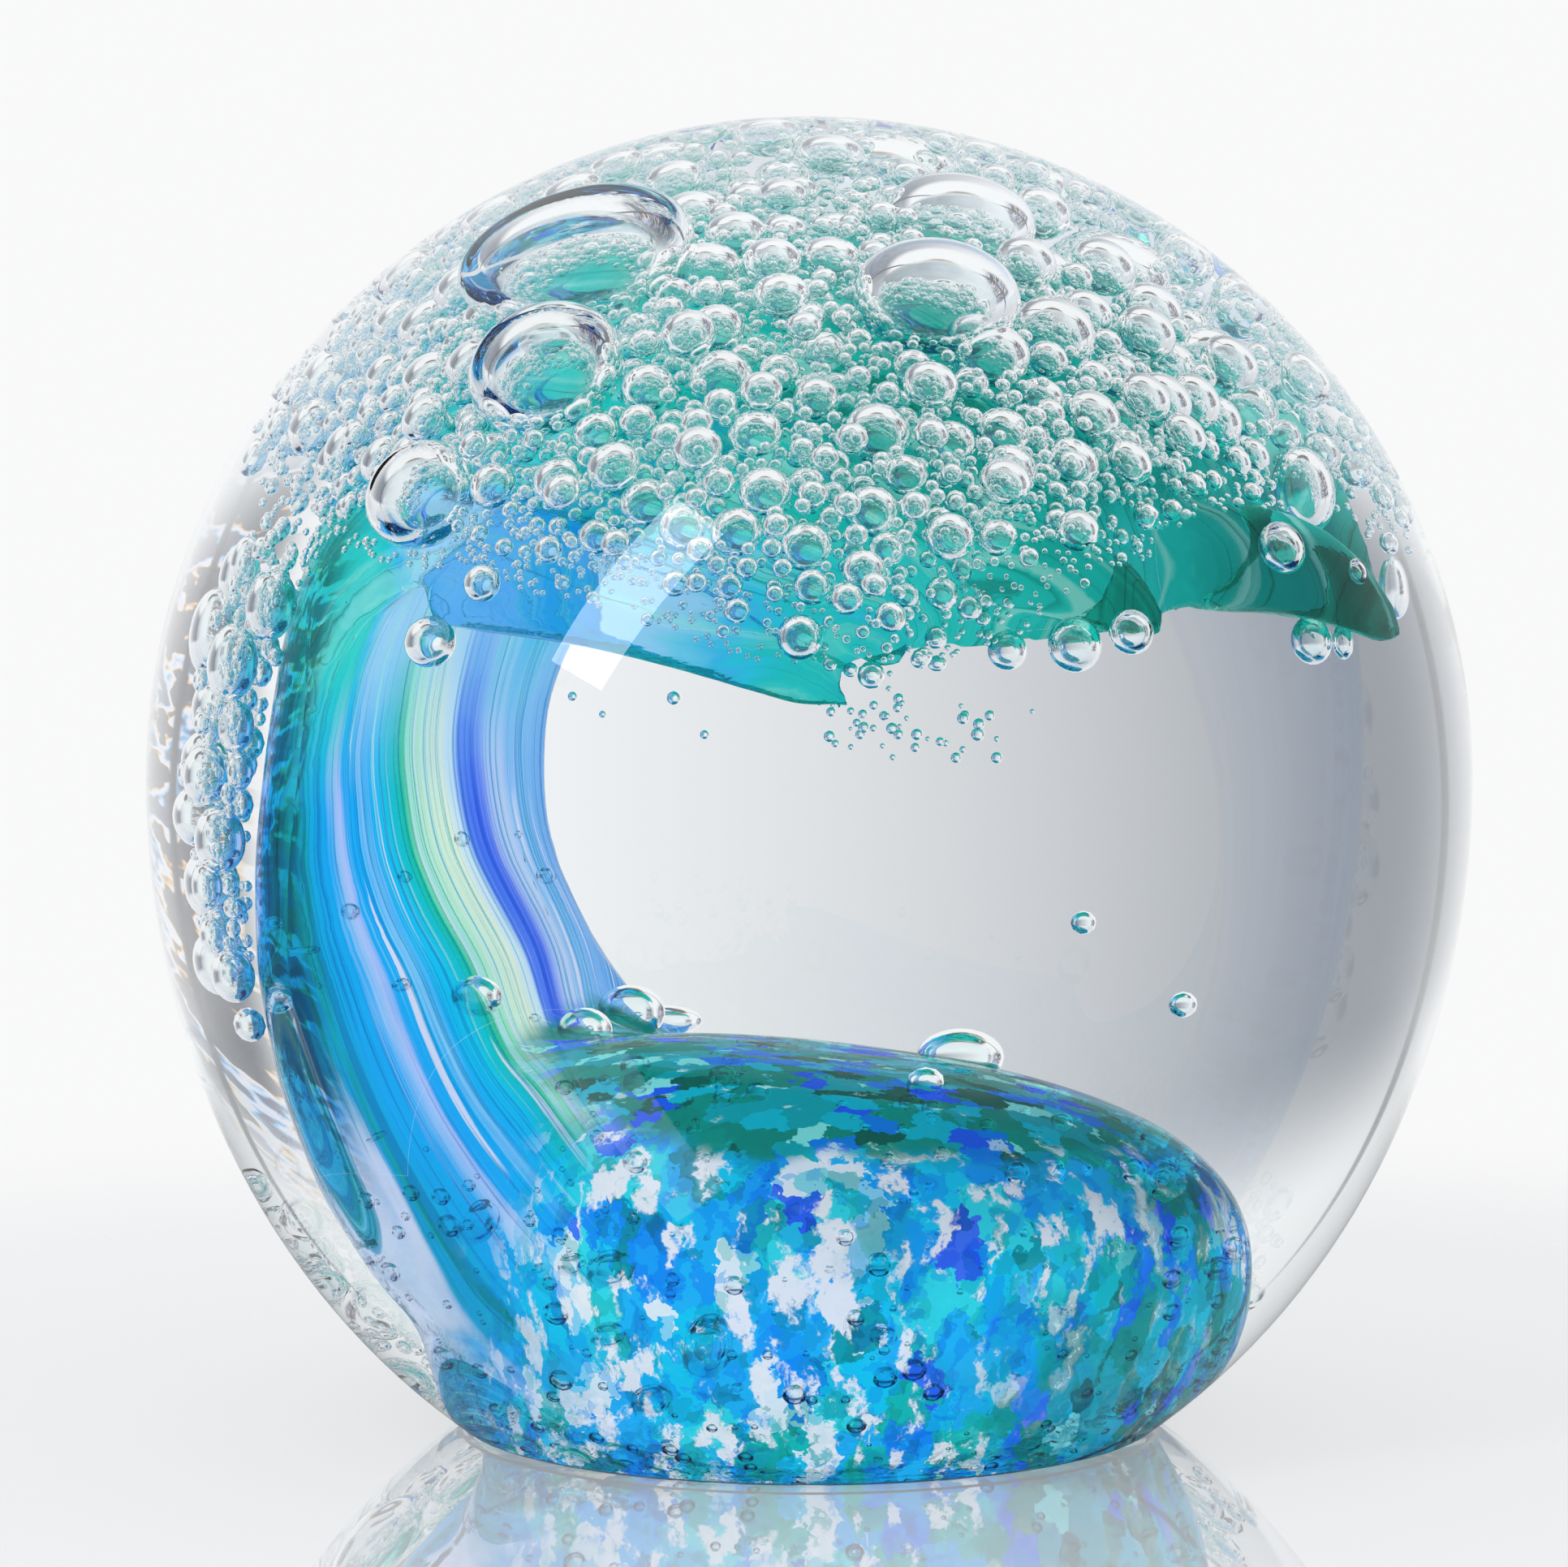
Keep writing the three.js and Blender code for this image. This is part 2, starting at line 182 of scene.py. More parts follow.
world = bpy.data.worlds.new("studio")
scene.world = world
world.use_nodes = True
world.node_tree.nodes.clear()
room = Tree(world.node_tree)
toward = room.node("TexCoord").outputs["Generated"]
split = room.node("SeparateXYZ", {0: toward}).outputs
rise = room.math("ARCSINE", split["Z"])
turn = room.math("ARCTAN2", split["X"], split["Y"])


def passing(angle, first, last):
    """0 to 1 as an angle of the room passes from the first to the last of these degrees."""
    return room.smooth(angle, math.radians(first), math.radians(last))


def dark_side(middle, reach, core):
    """How far a direction lies in the dark side of the room that is centred on this azimuth."""
    return passing(room.math("ABSOLUTE", room.math("SUBTRACT", turn, math.radians(middle))), reach, core)


sides = room.math("MAXIMUM", dark_side(*left_grey), dark_side(*right_grey))
sides = room.math("MULTIPLY", sides, passing(rise, *side_rise))
seen = room.mix(sides, front_white, side_grey)
panel_place = room.node("CombineXYZ", {"X": room.math("MULTIPLY", turn, panel_grain[0]),
                                       "Y": room.math("MULTIPLY", rise, panel_grain[1])}).outputs[0]
panels = room.ramp(room.noise(panel_place, 1.0, detail=3.0), panel_colours)
on_panels = room.math("MULTIPLY", dark_side(*panel_side), passing(rise, *panel_rise))
seen = room.mix(on_panels, seen, panels)
seen = room.mix(passing(rise, *table_rise), seen, front_white)
into_ring = passing(rise, *ring_low_edge)
out_of_ring = passing(rise, *ring_high_edge)
seen = room.mix(room.math("MULTIPLY", into_ring, out_of_ring), seen, ceiling_grey)
for edge, fringe in ((into_ring, warm_fringe), (out_of_ring, cool_fringe)):
    midway = room.math("MULTIPLY", edge, room.math("SUBTRACT", 1.0, edge))
    seen = room.mix(room.math("MULTIPLY", midway, fringe_strength), seen, fringe)
either_side = room.math("ABSOLUTE", turn)
from_line = room.math("ABSOLUTE", room.math("SUBTRACT", either_side, math.radians(line_turn)))
seen = room.mix(passing(from_line, line_width, line_width / 3), seen, line_grey)
plain = room.mix(passing(rise, *horizon_rise), wall_tone, floor_tone)
mirrored = room.mix(passing(either_side, *behind_camera_turn), wall_tone, camera_side)
path = room.node("LightPath").outputs
light = room.mix(path["Is Glossy Ray"], room_light, mirrored)
light = room.mix(path["Is Transmission Ray"], light, seen)
light = room.mix(path["Is Camera Ray"], light, plain)
shown = room.node("Background", {"Color": light, "Strength": 1.0})
room.node("OutputWorld", {"Surface": shown.outputs[0]})


# Softbox. A strip light that stands high on the left, beside the camera. Its reflection is the pale
# slanted rectangle on the front of the ball.
softbox_toward = Vector((-0.46, -0.64, 0.575)).normalized()
softbox_distance = 0.9
softbox_width = 0.17
softbox_length = 0.5
softbox_power = 1.7
softbox_lean = math.radians(-22)
softbox_place = Vector((0, 0, ball_middle)) + softbox_toward * softbox_distance
softbox_turn = (-softbox_toward).to_track_quat("-Z", "Y").to_euler()
softbox_turn.rotate_axis("Z", softbox_lean)
bpy.ops.object.light_add(type="AREA", location=softbox_place, rotation=softbox_turn)
softbox = bpy.context.object
softbox.name = "softbox"
softbox.data.shape = "RECTANGLE"
softbox.data.size = softbox_width
softbox.data.size_y = softbox_length
softbox.data.energy = softbox_power
softbox.visible_transmission = False


# Floor. A polished white table that fades into the room a hand's breadth from the ball. The camera
# and the glass see it partly as plain white, and only its image in the glass is darker.
floor_radius = 0.45
floor_corners = 128
floor_drop = 0.00005
floor_fade = (0.07, 0.12)
floor_white = "#f6f7f9"
floor_cloud = "#f2f4f7"
floor_glow = "#f3f4f7"
floor_shade = "#4c4e52"
floor_shade_cloud = "#46484c"
cloud_scale = 9.0
floor_roughness = 0.012
floor_index = 1.5
extra_polish = 0.5
glass_shows_table = 0.78
camera_shows_table = 0.22
kept_from_mirror = 0.65


def settle(name):
    """Names the active object and moves its place, turn and size into its mesh."""
    piece = bpy.context.object
    piece.name = name
    piece.data.name = name
    bpy.ops.object.transform_apply(location=True, rotation=True, scale=True)
    return piece


def only(piece):
    """Makes the piece the one selected and active object."""
    bpy.ops.object.select_all(action="DESELECT")
    piece.select_set(True)
    bpy.context.view_layer.objects.active = piece


def new_material(name, piece):
    """An empty material, given to the piece."""
    material = bpy.data.materials.new(name)
    material.use_nodes = True
    material.node_tree.nodes.clear()
    piece.data.materials.clear()
    piece.data.materials.append(material)
    return Tree(material.node_tree)


bpy.ops.object.select_all(action="DESELECT")
bpy.ops.mesh.primitive_circle_add(vertices=floor_corners, radius=floor_radius, fill_type="NGON",
                                  location=(0, 0, -floor_drop))
floor = settle("table_top")
table = new_material("polished white table", floor)
place = table.node("TexCoord").outputs["Object"]
cloud = table.noise(place, cloud_scale, detail=3.0)
top = table.mix(cloud, linear(floor_white), linear(floor_cloud))
gloss = table.node("BsdfPrincipled", {"Base Color": top, "Roughness": floor_roughness,
                                      "IOR": floor_index})
mirror = table.node("BsdfGlossy", {"Color": top, "Roughness": 0.0})
gloss = table.node("MixShader", {0: extra_polish, 1: gloss.outputs[0], 2: mirror.outputs[0]})
path = table.node("LightPath").outputs
only_mirrored = table.math("SUBTRACT", path["Is Glossy Ray"], path["Is Transmission Ray"], clamp=True)
kept = table.math("MULTIPLY", only_mirrored, kept_from_mirror)
shade = table.mix(cloud, linear(floor_shade), linear(floor_shade_cloud))
shade = table.node("BsdfDiffuse", {"Color": shade})
gloss = table.node("MixShader", {0: kept, 1: gloss.outputs[0], 2: shade.outputs[0]})
seen_white = table.math("MULTIPLY", path["Is Transmission Ray"], glass_shows_table)
seen_white = table.math("MULTIPLY_ADD", path["Is Camera Ray"], camera_shows_table, seen_white)
glow = table.node("Emission", {"Color": linear(floor_glow), "Strength": 1.0})
lit = table.node("MixShader", {0: seen_white, 1: gloss.outputs[0], 2: glow.outputs[0]})
fade = table.smooth(table.vector("LENGTH", place), *floor_fade)
clear = table.node("BsdfTransparent")
faded = table.node("MixShader", {0: fade, 1: lit.outputs[0], 2: clear.outputs[0]})
table.node("OutputMaterial", {"Surface": faded.outputs[0]})


# Ball. Solid clear crystal cased over the wave, ground and polished by hand: round above, a little
# longer below, with a flat polished base.
ball_radius = (cad_high.x - cad_low.x) / 2
lower_stretch = 46.1 / 40
ball_segments = 192
on_plane = 1e-6
base_bevel = 0.0005
bevel_steps = 5
base_crease = math.radians(40)
glass_index = 1.5
glass_white = "#fdfeff"
glass_tint = "#f8fcfc"
tint_scale = 25.0
polish_scale = 55.0
polish_strength = 0.02
polish_depth = 0.001
ground_height = 0.0004
ground_rough = 0.12
ground_scale = 300.0


def resize_below(piece, level, factor):
    """Makes what lies below this level this many times as deep."""
    only(piece)
    bpy.ops.object.mode_set(mode="EDIT")
    bpy.ops.mesh.select_mode(type="VERT")
    bpy.ops.mesh.select_all(action="DESELECT")
    bpy.ops.object.mode_set(mode="OBJECT")
    for vertex in piece.data.vertices:
        vertex.select = vertex.co.z < level
    bpy.ops.object.mode_set(mode="EDIT")
    bpy.ops.transform.resize(value=(1, 1, factor), center_override=(0, 0, level))
    bpy.ops.object.mode_set(mode="OBJECT")


def as_glass(material, colour, index, **more):
    """Makes the material glass of this colour that bends light by this index."""
    links = {"Base Color": colour, "IOR": index, "Roughness": 0.0, "Transmission Weight": 1.0}
    shader = material.node("BsdfPrincipled", {**links, **more})
    material.node("OutputMaterial", {"Surface": shader.outputs[0]})


bpy.ops.object.select_all(action="DESELECT")
bpy.ops.mesh.primitive_uv_sphere_add(segments=ball_segments, ring_count=ball_segments // 2,
                                     radius=ball_radius, location=(0, 0, ball_middle))
ball = settle("ball")
resize_below(ball, ball_middle, lower_stretch)
bpy.ops.object.mode_set(mode="EDIT")
bpy.ops.mesh.select_all(action="SELECT")
bpy.ops.mesh.bisect(plane_co=(0, 0, 0), plane_no=(0, 0, 1), use_fill=True, clear_inner=True)
bpy.ops.mesh.select_mode(type="EDGE")
bpy.ops.mesh.select_all(action="DESELECT")
bpy.ops.object.mode_set(mode="OBJECT")
heights = np.array([v.co.z for v in ball.data.vertices])
for edge in ball.data.edges:
    edge.select = bool(max(heights[list(edge.vertices)]) < on_plane)
bpy.ops.object.mode_set(mode="EDIT")
bpy.ops.mesh.bevel(offset=base_bevel, segments=bevel_steps)
bpy.ops.object.mode_set(mode="OBJECT")
bpy.ops.object.shade_smooth_by_angle(angle=base_crease)

glass = new_material("clear crystal", ball)
place = glass.node("TexCoord").outputs["Object"]
tint = glass.mix(glass.noise(place, tint_scale), linear(glass_white), linear(glass_tint))
wave_of_polish = glass.noise(place, polish_scale, detail=0.0)
ripple = glass.node("Bump", {"Strength": polish_strength, "Distance": polish_depth,
                             "Height": wave_of_polish})
height = glass.node("SeparateXYZ", {0: place}).outputs["Z"]
ground = glass.smooth(height, ground_height, 0.0, 0.0, ground_rough)
rough = glass.math("MULTIPLY", ground, glass.noise(place, ground_scale))
as_glass(glass, tint, glass_index, Roughness=rough, Normal=ripple.outputs[0])
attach(ball, "root")
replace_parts(ball, "clear_casing")


# Wave. Gathers of coloured glass, pulled up, curled over and teased into fingers while hot. They are
# made as one smooth shape first, which is then parted where the real gathers meet.
wave_turn = math.radians(-35)
out_way = Vector((math.cos(wave_turn), math.sin(wave_turn), 0))
hollow_way = Vector((-math.sin(wave_turn), math.cos(wave_turn), 0))
wave_nodes = ["clear_core", "frit_skin", "curl_skin", "crest_sheet", "curl_lip", "crest_finger_point",
              "crest_finger_middle", "crest_finger_long", "crest_finger_back"]
tip_nodes = wave_nodes[4:]
swell = 0.00028
voxel = 0.0005
soften_factor = 0.5
soften_rounds = 36
soften_levels = 10
tip_softness = 0.12
tip_reach = 0.003
lowest_glass = 0.0003
same_corner = 1e-6
skin_crease = math.radians(50)


def apply(piece, kind, **settings):
    """Puts a modifier on the piece and applies it."""
    only(piece)
    modifier = piece.modifiers.new(kind.lower(), kind)
    for name, value in settings.items():
        setattr(modifier, name, value)
    bpy.ops.object.modifier_apply(modifier=modifier.name)


def copy_of(node, name):
    """A merged copy of a CAD node's mesh as a new object."""
    piece = bpy.data.objects.new(name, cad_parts[node].data.copy())
    scene.collection.objects.link(piece)
    only(piece)
    bpy.ops.object.mode_set(mode="EDIT")
    bpy.ops.mesh.select_all(action="SELECT")
    bpy.ops.mesh.remove_doubles(threshold=same_corner)
    bpy.ops.object.mode_set(mode="OBJECT")
    return piece


def points_of(piece):
    """The piece's vertices as an array."""
    points = np.empty(len(piece.data.vertices) * 3)
    piece.data.vertices.foreach_get("co", points)
    return points.reshape(-1, 3)


def near_tips(points, reach):
    """1 inside the boxes that hold the pulled tips, 0 well away from them."""
    nearest = np.full(len(points), np.inf)
    for node in tip_nodes:
        low, high = (np.array(corner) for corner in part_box(node))
        away = np.maximum(np.maximum(low - points, points - high), 0)
        nearest = np.minimum(nearest, np.linalg.norm(away, axis=1))
    return 1 - np.clip(nearest / reach, 0, 1)


parts = []
for node in wave_nodes:
    part = copy_of(node, "part_" + node)
    apply(part, "DISPLACE", strength=swell, mid_level=0)
    parts.append(part)
bpy.ops.object.select_all(action="DESELECT")
for part in parts:
    part.select_set(True)
bpy.context.view_layer.objects.active = parts[0]
bpy.ops.object.join()
whole = bpy.context.object
whole.name = "whole_wave"
whole.data.materials.clear()
apply(whole, "REMESH", mode="VOXEL", voxel_size=voxel)
softness = 1 - (1 - tip_softness) * near_tips(points_of(whole), tip_reach)
soft = whole.vertex_groups.new(name="soft")
for level in range(soften_levels + 1):
    members = np.nonzero(np.round(softness * soften_levels) == level)[0].tolist()
    soft.add(members, level / soften_levels, "REPLACE")
apply(whole, "SMOOTH", factor=soften_factor, iterations=soften_rounds, vertex_group="soft")
apply(whole, "DISPLACE", strength=-swell, mid_level=0)
whole.vertex_groups.clear()
resize_below(whole, lowest_glass, 0)


# Path of the curl: how far out and how high it runs, and half its width there, from the root in the
# body to the lip. Streaks of colour follow it.
curl_path = [
    (0.005, 0.0155, 0.016), (-0.0045, 0.017, 0.016), (-0.0114, 0.0208, 0.015),
    (-0.017, 0.028, 0.01275), (-0.0194, 0.038, 0.011), (-0.0175, 0.048, 0.0145),
    (-0.012, 0.0546, 0.0175), (-0.004, 0.058, 0.02), (0.006, 0.0564, 0.02),
    (0.0132, 0.053, 0.018), (0.0175, 0.047, 0.014)]
path_steps = 24
hollow_thickness = 0.003
points_at_once = 20000

stations = np.array(curl_path)
padded = np.vstack([2 * stations[0] - stations[1], stations, 2 * stations[-1] - stations[-2]])
samples = []
for before, start, end, after in zip(padded, padded[1:], padded[2:], padded[3:]):
    for step in range(path_steps):
        t = step / path_steps
        samples.append(0.5 * (2 * start + (end - before) * t
                              + (2 * before - 5 * start + 4 * end - after) * t * t
                              + (3 * start - before - 3 * end + after) * t ** 3))
samples = np.array(samples + [stations[-1]])
steps_along = np.linalg.norm(np.diff(samples[:, :2], axis=0), axis=1)
lengths = np.concatenate([[0], np.cumsum(steps_along)])
tangents = np.gradient(samples[:, :2], axis=0)
tangents /= np.linalg.norm(tangents, axis=1)[:, None]


def flow_at(points):
    """Along, across and through the curl at each point: metres from the root, -1 to 1 from the near
    edge to the far edge, and -1 to 1 from the outer face to the hollow's face."""
    out = points @ np.array(out_way)
    across = points @ np.array(hollow_way)
    flow = np.empty((len(points), 3))
    for first in range(0, len(points), points_at_once):
        part = slice(first, first + points_at_once)
        away = np.stack([out[part, None] - samples[None, :, 0],
                         points[part, 2, None] - samples[None, :, 1]], axis=2)
        nearest = np.argmin((away ** 2).sum(axis=2), axis=1)
        offset = away[np.arange(len(nearest)), nearest]
        tangent = tangents[nearest]
        inward = offset[:, 0] * tangent[:, 1] - offset[:, 1] * tangent[:, 0]
        flow[part, 0] = lengths[nearest]
        flow[part, 1] = across[part] / samples[nearest, 2]
        flow[part, 2] = np.clip(inward / hollow_thickness, -1, 1)
    return flow


def store_flow(piece):
    """Keeps the flow in the piece's mesh, where its material reads it."""
    flow = flow_at(points_of(piece))
    attribute = piece.data.attributes.new("flow", "FLOAT_VECTOR", "POINT")
    attribute.data.foreach_set("vector", flow.astype(np.float32).ravel())


# Colours of the wave. Frit in the body, long streaks up the neck and washes of blue and green over
# the crest are one field of colour, so that they run on from piece to piece. A range says where a
# change starts and ends and, where it has four numbers, the strength at its start and end.
drift_scale = 90.0

colour_tree = bpy.data.node_groups.new("colours of the wave", "ShaderNodeTree")
colour_tree.interface.new_socket("Color", in_out="OUTPUT", socket_type="NodeSocketColor")
hue = Tree(colour_tree)
flow = hue.node("Attribute", attribute_name="flow", attribute_type="GEOMETRY").outputs["Vector"]
along, across = hue.node("SeparateXYZ", {0: flow}).outputs[:2]
place = hue.node("TexCoord").outputs["Object"]
east, back, high = hue.node("SeparateXYZ", {0: place}).outputs[:3]
drift = hue.math("SUBTRACT", hue.noise(place, drift_scale), 0.5)

# Streaks. Lanes of colour that were drawn out up the neck. On the front of the body they sweep down
# and round, and the lanes outside that sweep are teal.
sweep_east = 0.0317
sweep_high = 0.047
sweep_edge = 0.0556
sweep_level = 0.0313
sweep_widening = 0.18
sweep_spread = 10.0
sweep_growth = 4500.0
sweep_fan = (0.006, 0.027, 0.8, 2.0)
outer_shift = (0.0, -0.003, 0.0, 0.3)
outer_lanes = 150.0
front_height = (0.034, 0.028)
lane_length = 14.0
lane_drift = 0.12
lane_fray = 0.26
strand_grain = (13.0, 0.7, 1.0)
hair_grain = (46.0, 1.4, 1.0)
flame_grain = (9.0, 1.6, 1.0)
lane_colours = [
    (0.0, "#08a8e0"), (0.008, "#08a8b0"), (0.016, "#04b4e0"), (0.04, "#08b0f0"), (0.07, "#10b4fa"),
    (0.09, "#98ccfe"), (0.11, "#b8ccfe"), (0.13, "#18b0fc"), (0.19, "#08b8fc"), (0.21, "#84c8fe"),
    (0.23, "#08b8fc"), (0.29, "#08ccf4"), (0.34, "#08c8d0"), (0.375, "#18c8a0"), (0.41, "#98ecc8"),
    (0.47, "#d4f6dc"), (0.53, "#ecfae4"), (0.575, "#d4f0fc"), (0.6, "#6490fc"), (0.65, "#4470fa"),
    (0.69, "#98b4fe"), (0.73, "#c8dcfe"), (0.79, "#90ccfe"), (0.9, "#7cbcfe"), (1.0, "#64b4fa")]
teal = "#0cb8b0"
teal_outside = (0.0, -0.002)
teal_strands = (0.5, 0.58)
teal_strength = 0.85
flame = "#eceafe"
flame_lanes = (0.59, 0.64)
flame_inside = (-0.002, 0.0, 0.3, 0.85)
pale_strand = "#a8e8fe"
pale_strands = (0.56, 0.62, 0.0, 0.4)
dark_hair = "#70c8dc"
dark_hairs = (0.49, 0.4, 0.0, 0.85)

off_east = hue.math("SUBTRACT", east, sweep_east)
off_high = hue.math("SUBTRACT", high, sweep_high)
sweep = hue.vector("LENGTH", hue.node("CombineXYZ", {"X": off_east, "Y": off_high}).outputs[0])
below_level = hue.math("SUBTRACT", sweep_level, high)
edge_of_sweep = hue.math("MULTIPLY_ADD", below_level, sweep_widening, sweep_edge)
inward = hue.math("SUBTRACT", edge_of_sweep, sweep)
within = hue.math("MAXIMUM", inward, 0.0)
swept = hue.math("MULTIPLY", inward, hue.math("MULTIPLY_ADD", within, sweep_growth, sweep_spread))
swept = hue.math("MULTIPLY_ADD", swept, hue.smooth(high, *sweep_fan), -1.0)
swept = hue.math("SUBTRACT", swept, hue.smooth(inward, *outer_shift))
on_front = hue.smooth(high, *front_height)
bent = hue.math("MULTIPLY_ADD", hue.math("SUBTRACT", swept, across), on_front, across)
beyond = hue.math("MULTIPLY", hue.math("MINIMUM", inward, 0.0), on_front)
lines = hue.math("MULTIPLY_ADD", beyond, outer_lanes, bent)
lane_place = hue.node("CombineXYZ", {"X": lines, "Y": hue.math("MULTIPLY", along, lane_length)})


def drawn_out(grain, **settings):
    """Noise that is drawn out along the lanes."""
    return hue.noise(hue.vector("MULTIPLY", lane_place.outputs[0], grain), 1.0, **settings)


strands = drawn_out(strand_grain, detail=5.0, rough=0.65)
hairs = drawn_out(hair_grain, detail=4.0, rough=0.7)
flames = drawn_out(flame_grain, detail=4.0, warp=0.5)
fray_here = hue.math("SUBTRACT", strands, 0.5)
lane = hue.math("MULTIPLY_ADD", drift, lane_drift, bent)
lane = hue.math("MULTIPLY_ADD", fray_here, lane_fray, lane)
streaks = hue.ramp(hue.math("MULTIPLY_ADD", lane, 0.5, 0.5), lane_colours)
teal_share = hue.math("MULTIPLY", hue.smooth(beyond, *teal_outside), hue.smooth(strands, *teal_strands))
streaks = hue.mix(hue.math("MULTIPLY", teal_share, teal_strength), streaks, linear(teal))
flame_share = hue.math("MULTIPLY", hue.smooth(flames, *flame_lanes), hue.smooth(beyond, *flame_inside))
streaks = hue.mix(flame_share, streaks, linear(flame))
streaks = hue.mix(hue.smooth(strands, *pale_strands), streaks, linear(pale_strand))
streaks = hue.mix(hue.smooth(hairs, *dark_hairs), streaks, linear(dark_hair), "MULTIPLY")

# Frit. Chips of three sizes with ragged edges, taller than wide and leaning inwards, with pale slits
# between them. On the right they are deeper in colour. On the flat top the deep chips are partly the
# frit's colour and partly painted shade for the depth of coloured glass seen through the top.
ragged_scale = 700.0
chip_lean = -12.0
chip_height_share = 0.52
small_share = 0.75
speck_share = 0.5
slit_ragged = 0.0013
slit_shape = (1.0, 1.0, 0.75)
slit_scale = 640.0
slit = "#f8f8ff"
slit_range = (0.54, 0.61, 0.0, 0.95)
deep_slit = "#d4f8f8"
deep_slit_range = (0.63, 0.67, 0.0, 0.6)
right_range = (0.0075, 0.017)
right_drift = 0.04
right_strength = 0.85

ragged = hue.node("TexNoise", {"Vector": place, "Scale": ragged_scale, "Detail": 3.0,
                               "Roughness": 0.6})
ragged = hue.vector("SUBTRACT", ragged.outputs["Color"], (0.5, 0.5, 0.5))
leaning = hue.math("MULTIPLY", east, hue.math("MULTIPLY_ADD", high, chip_lean, 1.0))
raised = hue.math("MULTIPLY", high, chip_height_share)
chip_place = hue.node("CombineXYZ", {"X": leaning, "Y": back, "Z": raised}).outputs[0]


def ragged_place(amount):
    """The place of a chip, shaken by this much."""
    return hue.vector("MULTIPLY_ADD", ragged, (amount, amount, amount), chip_place)


def chips(stops, scale, rag, offset):
    """Chips of these colours, this many to a metre, with edges as ragged as this."""
    moved = hue.vector("ADD", ragged_place(rag), offset)
    cells = hue.node("TexVoronoi", {"Vector": moved, "Scale": scale}).outputs["Color"]
    return hue.ramp(hue.node("SeparateColor", {0: cells}).outputs[0], stops, "CONSTANT")


large = chips([
    (0.0, "#e8f4ff"), (0.08, "#18bcff"), (0.34, "#08d0fa"), (0.56, "#30e0f0"), (0.68, "#08c4c0"),
    (0.79, "#10a8ff"), (0.88, "#00a8b8"), (0.95, "#4078ff")],
    scale=540.0, rag=0.0022, offset=(0.0, 0.0, 0.0))
small = chips([
    (0.0, "#ffffff"), (0.46, "#60dcfe"), (0.6, "#ffffff"), (0.68, "#58e0e8"), (0.8, "#98d0fe"),
    (0.87, "#30c4c4"), (0.93, "#78d4fc")],
    scale=950.0, rag=0.0016, offset=(0.031, 0.017, 0.011))
specks = chips([
    (0.0, "#ffffff"), (0.6, "#6cd4c8"), (0.7, "#ffffff"), (0.86, "#70c4f8"), (0.95, "#30b0a8")],
    scale=1700.0, rag=0.0012, offset=(0.051, 0.013, 0.087))
deep = chips([
    (0.0, "#008c80"), (0.22, "#00a4b0"), (0.4, "#0080e8"), (0.48, "#006458"), (0.58, "#00b8d0"),
    (0.76, "#1c60f0"), (0.81, "#80e4e0"), (0.86, "#009488")],
    scale=800.0, rag=0.002, offset=(0.077, 0.041, 0.023))
slits = hue.noise(hue.vector("MULTIPLY", ragged_place(slit_ragged), slit_shape), slit_scale, detail=4.0,
                  rough=0.6)
frit = hue.mix(small_share, large, small, "MULTIPLY")
frit = hue.mix(speck_share, frit, specks, "MULTIPLY")
frit = hue.mix(hue.smooth(slits, *slit_range), frit, linear(slit))
deep = hue.mix(hue.smooth(slits, *deep_slit_range), deep, linear(deep_slit))
right = hue.smooth(hue.math("MULTIPLY_ADD", drift, right_drift, east), *right_range)
frit = hue.mix(hue.math("MULTIPLY", right, right_strength), frit, deep)

# Washes. Soft clouds over the crest, from pale blue in the lip on the left to green on the right, on
# the crown and along the back.
wash_width = 26.0
wash_middle = 0.42
wash_drift = 0.7
wash_fray = 0.5
crown_range = (0.0515, 0.055, 0.0, 0.5)
back_range = (-0.017, -0.0198, 0.0, 0.7)
wash_colours = [
    (0.0, "#a4dcfc"), (0.16, "#98d8fc"), (0.24, "#70d4f4"), (0.31, "#3cc4f4"), (0.39, "#2cd0ec"),
    (0.48, "#20d0d0"), (0.6, "#30dcd4"), (0.8, "#14ccbc"), (1.0, "#08b4a4")]
mint = "#9cf0e0"
mint_flames = (0.52, 0.64, 0.0, 0.7)
bottle_green = "#209c90"
green_hairs = (0.46, 0.34, 0.0, 0.6)

wash_place = hue.math("MULTIPLY_ADD", east, wash_width, wash_middle)
wash_place = hue.math("MULTIPLY_ADD", drift, wash_drift, wash_place)
wash_place = hue.math("MULTIPLY_ADD", fray_here, wash_fray, wash_place)
wash_place = hue.math("ADD", wash_place, hue.smooth(high, *crown_range))
wash_place = hue.math("ADD", wash_place, hue.smooth(east, *back_range))
wash = hue.ramp(wash_place, wash_colours)
wash = hue.mix(hue.smooth(flames, *mint_flames), wash, linear(mint))
wash = hue.mix(hue.smooth(hairs, *green_hairs), wash, linear(bottle_green), "MULTIPLY")

# The three together. Frit runs into streaks and streaks into washes along the curl, and the edges of
# the glass get a painted shade of dark green where the skin is seen at a slant. Light takes nearly all
# its colour where it enters, so the pattern stays crisp.
along_drift = 0.01
frit_to_streaks = (0.005, 0.014)
streaks_to_wash = (0.036, 0.046)
top_shade_drift = 0.8
top_shade_range = (0.7, 0.84)
top_shade_east = (-0.013, -0.0095)
edge_shade_blend = 0.3
edge_shade_range = (0.72, 0.98, 0.0, 0.75)
edge_shade_green = "#1c6850"
leaving_share = 0.94
leaving_white = "#f4fdff"

